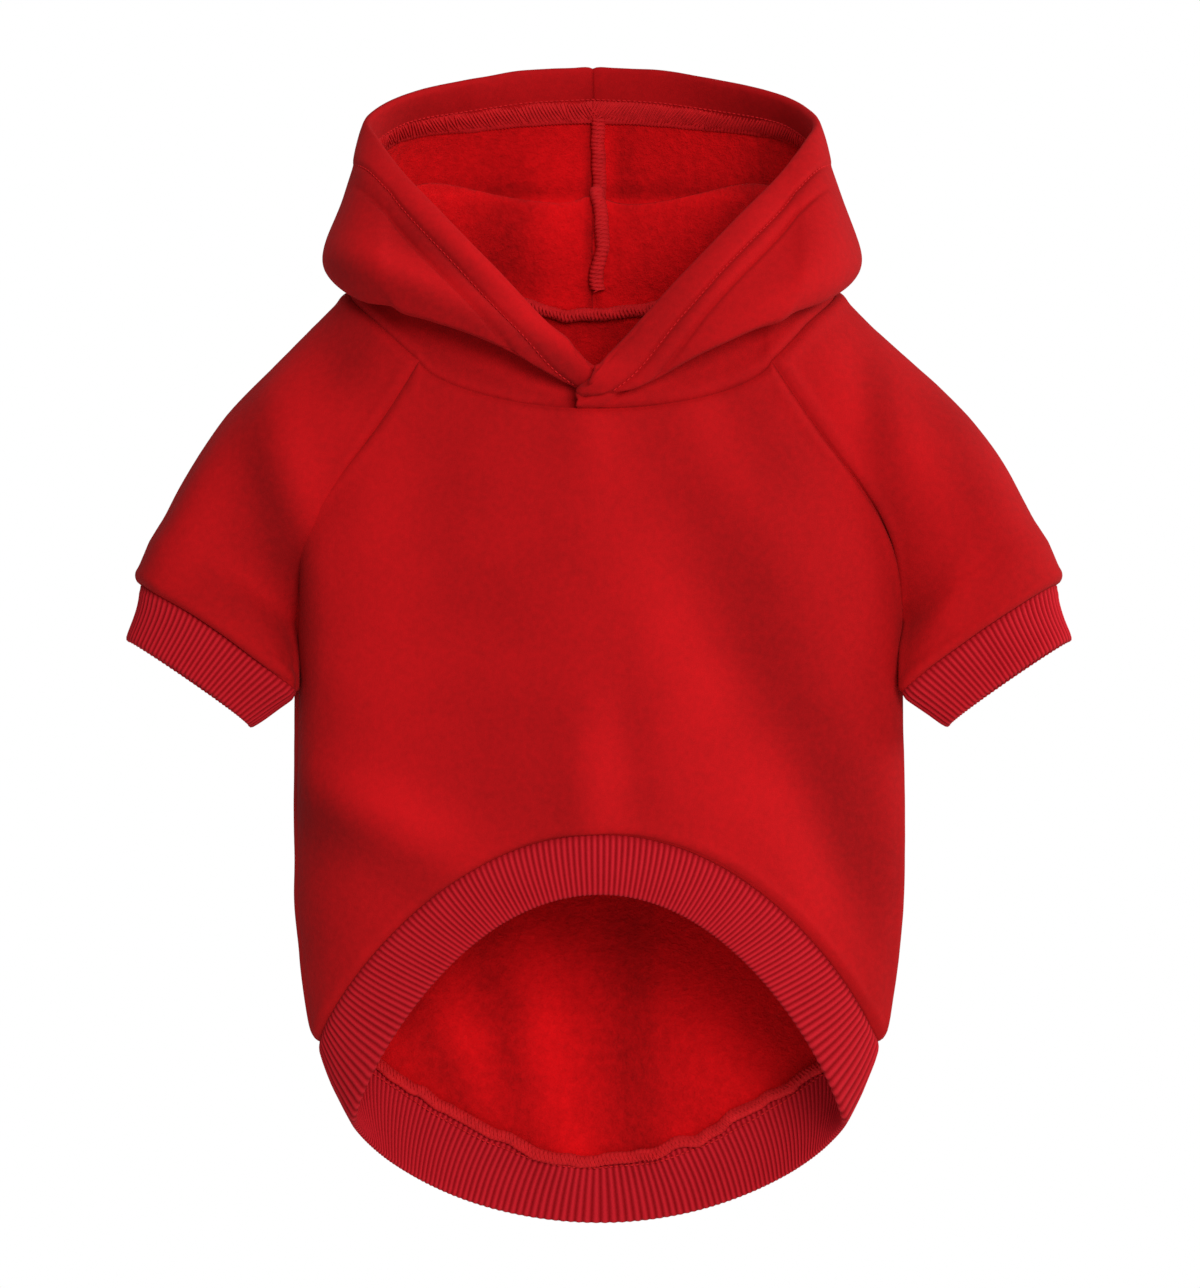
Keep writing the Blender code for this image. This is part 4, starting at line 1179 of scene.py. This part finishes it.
def build_ribbing(name, rests_on):
    """Ribbed tube sewn to the hem above it: crests run from the seam round the free fold."""
    values = bpy.context.scene.hoodie
    piece = cloth_piece(name)
    grid, facing, phase = resample_ring(piece, values)
    rise = run_lengths(grid, 0)
    crest = (0.5 + 0.5 * np.cos(2 * np.pi * phase)) ** 0.8
    wobble = 1 + 0.25 * unevenness(grid, 0.006, 5)
    half = values.rib_cloth * 0.5
    free = rise[-1:] - rise
    pinch = bump(rise, 0, 0.0016)
    fade = (1 - 0.5 * pinch) * (1 - 0.6 * bump(free, 0, 0.0014))
    ridge = values.rib_relief * (crest[None, :] - 0.5) * wobble * fade
    outer = half + ridge - SEAM_GROOVE * pinch
    inner = half + ridge - 0.0004 * pinch
    # Rib mark: painted highlight on the crests, painted shade in the valleys and in the groove by the seam.
    marks = {"rib": np.repeat(crest[None, :], len(grid), axis=0) * (1 - 0.35 * pinch)}
    inner_face = np.zeros((len(grid) - 1, grid.shape[1] - 1), int)
    pull = unit(grid[-1] - grid[-2]) * half
    grid = grid - pull[None] * bump(free, 0, 0.004)[..., None]
    ribbed = {"facing": facing, "closed": 0, "turn": piece["turn"]}
    item = shell(name + "_ribbing", ribbed, grid, outer, inner, ("high",),
                 [made_material("red_rib", rib_look, values)], inner_face, marks)
    dress(item, name, "rib", *cut_size(piece), "stretched", rests_on)


def build_hood_half(name):
    """Hood half with a turned hem along the rim, stitched down on its inside."""
    values = bpy.context.scene.hoodie
    piece = cloth_piece(name)
    grid, facing = piece["grid"], piece["facing"]
    outer, inner = jersey_offsets(piece, values, HOOD_WELT)
    rim = edge_distance(grid, ("high",))
    hem = values.hood_hem
    turned = 1 / (1 + np.exp((rim - hem) / 0.0003))
    padded = turned * np.sin(np.pi * np.clip(rim / hem, 0, 1)) ** 0.7
    share = hood_shares()[None, :]
    front = np.clip((0.50 - share) / 0.10, 0, 1) * np.clip((share - 0.02) / 0.05, 0, 1)
    welt = bump(rim, hem * 1.28, 0.0030) * front
    crease = bump(rim, hem * 1.62, 0.0016) * front
    gather = unevenness(grid * np.array([1.0, 0.4, 0.15]), 0.008, 21)
    gather = gather * turned * np.clip((share - 0.55) / 0.1, 0, 1)
    seen = np.clip(-facing[..., 1] * 2.0 - 0.3, 0, 1)
    outer = outer + 0.0003 * turned + 0.0008 * padded - 0.0012 * bump(rim, hem, 0.0012) * seen
    outer = outer + (0.0007 * welt - 0.0013 * crease) * seen
    inner = inner + 0.0008 * turned + 0.0005 * padded + 0.00035 * gather
    inner = inner - 0.0009 * bump(edge_distance(grid, ("last",)), 0, 0.0020) * (1 - turned)
    pull = unit(grid[-1] - grid[-2]) * values.cloth * 0.7
    grid = grid - pull[None] * bump(rim, 0, 0.004)[..., None]
    inner_face = np.where(rim[:-1, :-1] < hem, 0, 1)
    item = shell(name + "_cloth", piece, grid, outer, inner, ("high", "first"), cloth_materials(values),
                 inner_face, {"lay": piece["lay"]})
    dress(item, name, "jersey", *cut_size(piece), "draped", ["belly_panel", "back_panel"])


def thread_track(line, up, step, wave):
    """Even places on a line with the ways up, ahead and aside; the line waves a little aside."""
    run = run_lengths(line[None], 1)[0]
    at = np.linspace(0, run[-1], max(int(round(run[-1] / step)), 2) + 1)
    line, up = spread(at, run, line), unit(spread(at, run, up))
    ahead = unit(np.gradient(line, axis=0))
    side = unit(np.cross(ahead, up))
    sway = unevenness(line, 0.011, 11) + 0.5 * unevenness(line, 0.005, 12)
    return at, line + side * (wave * sway)[:, None], up, ahead, side


def sew(name, points, faces, values):
    thread = made_material("red_thread", thread_look, values)
    item = mesh_object(name, points, faces, np.zeros(len(faces), int), [thread])
    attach(item, "root")


def overlock(name, line, up, width, height, pitch, slant, wave, ring, values):
    """Overlocked edge: a low band or roll crossed by slanting loops of thread."""
    at, line, up, _, side = thread_track(line, up, pitch / 5, wave)
    if ring:
        at, line, up, side = at[:-1], line[:-1], up[:-1], side[:-1]
    arch = np.cos(np.linspace(np.pi, 0, 9))
    points = []
    for k, x in enumerate((*arch, 0.7, -0.7)):
        turns = at / pitch + 0.5 * slant * x + 0.12 * unevenness(line, 0.004, 8)
        thread = np.abs(np.cos(np.pi * turns)) ** 0.7
        stand = np.full(len(at), -0.35 * height)
        if k < len(arch):
            stand = height * np.sqrt(max(1 - x ** 4, 0.0)) * (0.62 + 0.45 * thread)
        edge = 1 + 0.14 * thread * abs(x) + 0.08 * unevenness(line, 0.008, 7)
        points.append(line + side * (width * 0.5 * x * edge)[:, None] + up * stand[:, None])
    points = np.stack(points, axis=1)
    rows, cols = points.shape[:2]
    number = np.arange(rows * cols).reshape(rows, cols)
    if ring:
        number = np.concatenate([number, number[:1]])
    a, b = number[:-1], number[1:]
    faces = np.stack([a, b, np.roll(b, -1, axis=1), np.roll(a, -1, axis=1)], axis=-1).reshape(-1, 4)
    if not ring:
        ends = []
        for tip, turn in ((number[0], 1), (number[-1], -1)):
            ends += [[tip[k], tip[k + 1], tip[7 - k], tip[8 - k]][::turn] for k in range(4)]
            ends += [[tip[8], tip[9], tip[10], tip[0]][::turn]]
        faces = np.concatenate([faces, np.array(ends)])
    sew(name, points.reshape(-1, 3), faces, values)


def stitch_faces(count):
    """Faces of so many stitches: sides between the rings of each, and both ends."""
    ring = STITCH_SIDES
    faces = []
    for r in range(0, ring * (len(STITCH_RINGS) - 1), ring):
        faces += [[r + c, r + (c + 1) % ring, r + ring + (c + 1) % ring, r + ring + c] for c in range(ring)]
    last = ring * (len(STITCH_RINGS) - 1)
    faces += [[0, 5, 4, 1], [1, 4, 3, 2]]
    faces += [[last + n for n in end] for end in ((1, 4, 5, 0), (2, 3, 4, 1))]
    starts = np.arange(count) * ring * len(STITCH_RINGS)
    return (np.array(faces)[None] + starts[:, None, None]).reshape(-1, 4)


def stitch_row(name, line, up, pitch, length, radius, slant, wave, values):
    """Row of single stitches lying on the cloth, turned by slant out of the row's own way."""
    _, line, up, ahead, side = thread_track(line, up, pitch, wave)
    turn = slant + 0.25 * unevenness(line, 0.002, 13)[:, None] * (slant != 0)
    ahead, side = ahead * np.cos(turn) + side * np.sin(turn), side * np.cos(turn) - ahead * np.sin(turn)
    angles = np.arange(STITCH_SIDES)[:, None] / STITCH_SIDES * 2 * np.pi
    circle = side[:, None] * np.cos(angles) + up[:, None] * np.sin(angles)
    rings = []
    for span, size, rise in STITCH_RINGS:
        centre = line + ahead * span * length + up * rise * radius
        rings.append(centre[:, None] + radius * size * circle)
    sew(name, np.stack(rings, axis=1).reshape(-1, 3), stitch_faces(len(line)), values)


def overlocked_seam(name, kind, line, way, values, turn=1, ring=False):
    """Overlock band with its single loops on top."""
    width, height, pitch, close, lift, length, radius, slant, loop_slant, wave = OVERLOCKS[kind]
    step = values.stitch_pitch
    overlock(name + "_overlock", line, way, width, height, step * pitch, slant, wave, ring, values)
    top = line + way * lift
    stitch_row(name + "_loops", top, way, step * close, length, radius, loop_slant * turn, wave, values)


def stitched_line(name, kind, line, way, values):
    lift, length, radius, wave = STITCHES[kind]
    stitch_row(name + kind, line + way * lift, way, values.stitch_pitch, length, radius, 0.0, wave, values)


def rim_track(name, distance, side, start):
    """Line on a hood half so far from the rim, with the way off the cloth; side 1 is outside, -1 inside."""
    piece = cloth_piece(name)
    grid, facing = piece["grid"][::-1], piece["facing"][::-1]
    rim = edge_distance(piece["grid"], ("high",))[::-1]
    near = [j for j, share in enumerate(hood_shares()) if rim[-1, j] >= distance and share >= start]
    line = np.array([spread(distance, rim[:, j], grid[:, j]) for j in near])
    way = side * unit(np.array([spread(distance, rim[:, j], facing[:, j]) for j in near]))
    return line + way * bpy.context.scene.hoodie.cloth * 0.5, way


def neck_track(side, values):
    """The hood half's neck seam seen from inside, at the back of the neck only."""
    piece = cloth_piece("hood_" + side)
    seen = hood_shares() > NECK_OVERLOCK_START
    inside = piece["grid"][0] - piece["facing"][0] * values.cloth * 0.9
    return inside[seen], -piece["facing"][0][seen]


def length_value(name, text, default):
    return FloatProperty(name=name, description=text, default=default, unit="LENGTH")


def plain_value(name, text, default, subtype="NONE"):
    return FloatProperty(name=name, description=text, default=default, subtype=subtype)


def power_value(name, text, default):
    return FloatProperty(name=name, description=text, default=default, unit="POWER")


def color_value(name, text, default):
    return FloatVectorProperty(name=name, description=text, default=default, size=3, subtype="COLOR")


class HoodieValues(PropertyGroup):
    cloth: length_value("Cloth", "Thickness of the fleece jersey", CLOTH)
    rib_cloth: length_value("Rib cloth", "Thickness of the folded ribbing", RIB_CLOTH)
    rib_pitch: length_value("Rib pitch", "Distance from crest to crest", 0.00235)
    rib_relief: length_value("Rib relief", "Height of a crest over its valley", 0.00065)
    hood_hem: length_value("Hood hem", "Width of the hem turned in along the rim", 0.0172)
    stitch_pitch: length_value("Stitch pitch", "Length of one stitch with its gap", 0.0021)
    fold_strength: plain_value("Folds", "Strength of the folds, 1 as in the garment", 1.0)
    # Strength of the painted light and shade that the fold slopes put into the cloth colour.
    painted_shade_strength: plain_value("Nap", "How much lighter the pile looks for each unit of its lay", 0.75)
    jersey_color: color_value("Jersey", "Colour of the outside", (0.44, 0.0040, 0.0060))
    fleece_color: color_value("Fleece", "Colour of the brushed inside", (0.64, 0.0028, 0.0050))
    # Crest colour is painted highlight and valley colour painted shade of one red yarn.
    rib_crest_highlight_color: color_value("Rib crest", "Colour of the ribs' crests", (0.58, 0.012, 0.022))
    rib_valley_shade_color: color_value("Rib valley", "Colour between the ribs", (0.27, 0.0015, 0.0045))
    thread_color: color_value("Thread", "Colour of the sewing thread", (0.64, 0.012, 0.016))


class StageValues(PropertyGroup):
    lens: plain_value("Lens", "Focal length of the camera", 135.0, "DISTANCE_CAMERA")
    distance: length_value("Distance", "Camera to the garment's middle plane", 1.86)
    aside: length_value("Aside", "Camera to the right of the neck opening", 0.0029)
    height: length_value("Height", "Camera height against the neck opening", -0.1212)
    fill: plain_value("Fill", "Strength of the light from all round", 0.34)
    key_power: power_value("Key", "Power of the soft key light from the right", 20.0)
    rim_power: power_value("Rim light", "Power of the light along the right edge", 8.0)
    floor_color: color_value("Floor", "Colour of the floor", (0.86, 0.86, 0.86))


class HOODIE_OT_panels(Operator):
    """Build the belly and back panels"""
    bl_idname = "hoodie.panels"
    bl_label = "Panels"

    def execute(self, context):
        for name in ("belly_panel", "back_panel"):
            build_cloth(name, PANEL_WELT, ["hem_band"])
        return {"FINISHED"}


class HOODIE_OT_sleeves(Operator):
    """Build both raglan sleeves"""
    bl_idname = "hoodie.sleeves"
    bl_label = "Sleeves"

    def execute(self, context):
        for side in ("left", "right"):
            build_cloth(side + "_sleeve", SLEEVE_WELT, ["belly_panel", "back_panel"])
        return {"FINISHED"}


class HOODIE_OT_cuffs(Operator):
    """Build both ribbed cuffs"""
    bl_idname = "hoodie.cuffs"
    bl_label = "Cuffs"

    def execute(self, context):
        for side in ("left", "right"):
            build_ribbing(side + "_cuff", [side + "_sleeve"])
        return {"FINISHED"}


class HOODIE_OT_hem_band(Operator):
    """Build the ribbed hem band"""
    bl_idname = "hoodie.hem_band"
    bl_label = "Hem band"

    def execute(self, context):
        build_ribbing("hem_band", ["belly_panel", "back_panel"])
        return {"FINISHED"}


class HOODIE_OT_hood(Operator):
    """Build both halves of the hood"""
    bl_idname = "hoodie.hood"
    bl_label = "Hood"

    def execute(self, context):
        for side in ("left", "right"):
            build_hood_half("hood_" + side)
        return {"FINISHED"}


class HOODIE_OT_seam_thread(Operator):
    """Build the overlocked edges and the rows of stitches"""
    bl_idname = "hoodie.seam_thread"
    bl_label = "Seam thread"

    def execute(self, context):
        values = context.scene.hoodie
        for side, sign in (("left", 1), ("right", -1)):
            name = "hood_" + side + "_"
            line, way = rim_track("hood_" + side, values.hood_hem, -1, FACING_START)
            overlocked_seam(name + "hem", "hood_hem", line + way * 0.0004, way, values, turn=sign)
            line, way = rim_track("hood_" + side, values.hood_hem - HEM_STITCH_INSET, -1, FACING_START)
            stitched_line(name, "hem_stitches", line, way, values)
            line, way = rim_track("hood_" + side, values.hood_hem, 1, TOPSTITCH_START)
            stitched_line(name, "topstitch", line, way, values)
        halves = [neck_track(side, values) for side in ("left", "right")]
        line, way = (np.concatenate([left, right[::-1][1:]]) for left, right in zip(*halves))
        overlocked_seam("neck", "neck", line, way, values)
        piece = cloth_piece("hood_right")
        rim = edge_distance(piece["grid"], ("high",))[:, -1]
        keep = (rim > values.hood_hem + 0.003) & (np.arange(len(rim)) > 2)
        way = -piece["facing"][keep, -1]
        line = piece["grid"][keep, -1] + way * values.cloth * 0.5 + RIGHT * CENTRE_OVERLOCK_ASIDE
        overlocked_seam("hood_centre", "hood_centre", line, way, values)
        piece = cloth_piece("hem_band")
        way = -piece["facing"][0]
        overlocked_seam("hem", "hem", piece["grid"][0] + way * values.cloth * 0.8, way, values, ring=True)
        low = int(np.argmin(np.abs(run_lengths(piece["grid"], 0)[:, 0] - COVERSTITCH_DROP)))
        way = -piece["facing"][low]
        stitched_line("hem_", "coverstitch", piece["grid"][low] + way * values.rib_cloth * 0.5, way, values)
        return {"FINISHED"}


class HOODIE_OT_stage(Operator):
    """Set up the floor, the lights and the camera"""
    bl_idname = "hoodie.stage"
    bl_label = "Stage"

    def execute(self, context):
        scene = context.scene
        values = scene.hoodie_stage
        camera = bpy.data.cameras.new("photo_camera")
        camera.lens = values.lens
        camera.sensor_width = 36.0
        camera.clip_start = 0.05
        item = bpy.data.objects.new("photo_camera", camera)
        item.location = (values.aside, -values.distance, values.height)
        item.rotation_euler = (np.pi / 2, 0.0, 0.0)
        scene.collection.objects.link(item)
        scene.camera = item
        scene.view_settings.view_transform = "Standard"
        turn = np.arange(FLOOR_CORNERS) / FLOOR_CORNERS * 2 * np.pi
        points = np.stack([np.cos(turn), np.sin(turn), np.zeros(FLOOR_CORNERS)], axis=-1) * FLOOR_RADIUS
        points = points - UP * FLOOR_DROP
        last = FLOOR_CORNERS - 1
        quads = [[k, k + 1, last - 1 - k, last - k] for k in range(FLOOR_CORNERS // 2 - 1)]
        floor = made_material("pale_floor", floor_look, values)
        mesh_object("floor", points, np.array(quads), np.zeros(len(quads), int), [floor])
        world = bpy.data.worlds.new("studio")
        scene.world = world
        world.use_nodes = True
        world.node_tree.nodes.clear()
        wire = Wire(world.node_tree)
        seen = wire.node("ShaderNodeLightPath", {}, {}, 0)
        strength = values.fill + seen * (1.0 - values.fill)
        sky = wire.node("ShaderNodeBackground", {}, {"Color": (1.0, 1.0, 1.0, 1.0), "Strength": strength})
        wire.node("ShaderNodeOutputWorld", {}, {"Surface": sky})
        for name, (place, size, power, color) in LAMPS.items():
            light = bpy.data.lights.new(name, "AREA")
            light.size = size
            light.energy = getattr(values, power)
            light.color = color
            item = bpy.data.objects.new(name, light)
            item.location = place
            aim = AIM - np.array(place)
            rise = np.arctan2(aim[2], np.hypot(aim[0], aim[1]))
            item.rotation_euler = (np.pi / 2 + rise, 0.0, np.arctan2(aim[1], aim[0]) - np.pi / 2)
            scene.collection.objects.link(item)
        return {"FINISHED"}


class HOODIE_PT_sidebar(Panel):
    """Steps and values of the hoodie"""
    bl_label = "Dog Hoodie"
    bl_idname = "HOODIE_PT_sidebar"
    bl_space_type = "VIEW_3D"
    bl_region_type = "UI"
    bl_category = "Hoodie"

    def draw(self, context):
        column = self.layout.column()
        for group in (context.scene.hoodie, context.scene.hoodie_stage):
            for label in group.__annotations__:
                column.prop(group, label)
        for step in STEPS:
            column.operator(step.bl_idname)


STEPS = (HOODIE_OT_stage, HOODIE_OT_panels, HOODIE_OT_sleeves, HOODIE_OT_cuffs, HOODIE_OT_hem_band,
         HOODIE_OT_hood, HOODIE_OT_seam_thread)
CLASSES = (HoodieValues, StageValues) + STEPS + (HOODIE_PT_sidebar,)


def register():
    for item in CLASSES:
        bpy.utils.register_class(item)
    bpy.types.Scene.hoodie = PointerProperty(type=HoodieValues)
    bpy.types.Scene.hoodie_stage = PointerProperty(type=StageValues)


def unregister():
    del bpy.types.Scene.hoodie_stage
    del bpy.types.Scene.hoodie
    for item in reversed(CLASSES):
        bpy.utils.unregister_class(item)


def main():
    register()
    for step in STEPS:
        family, action = step.bl_idname.split(".")
        getattr(getattr(bpy.ops, family), action)()


if __name__ == "__main__":
    main()
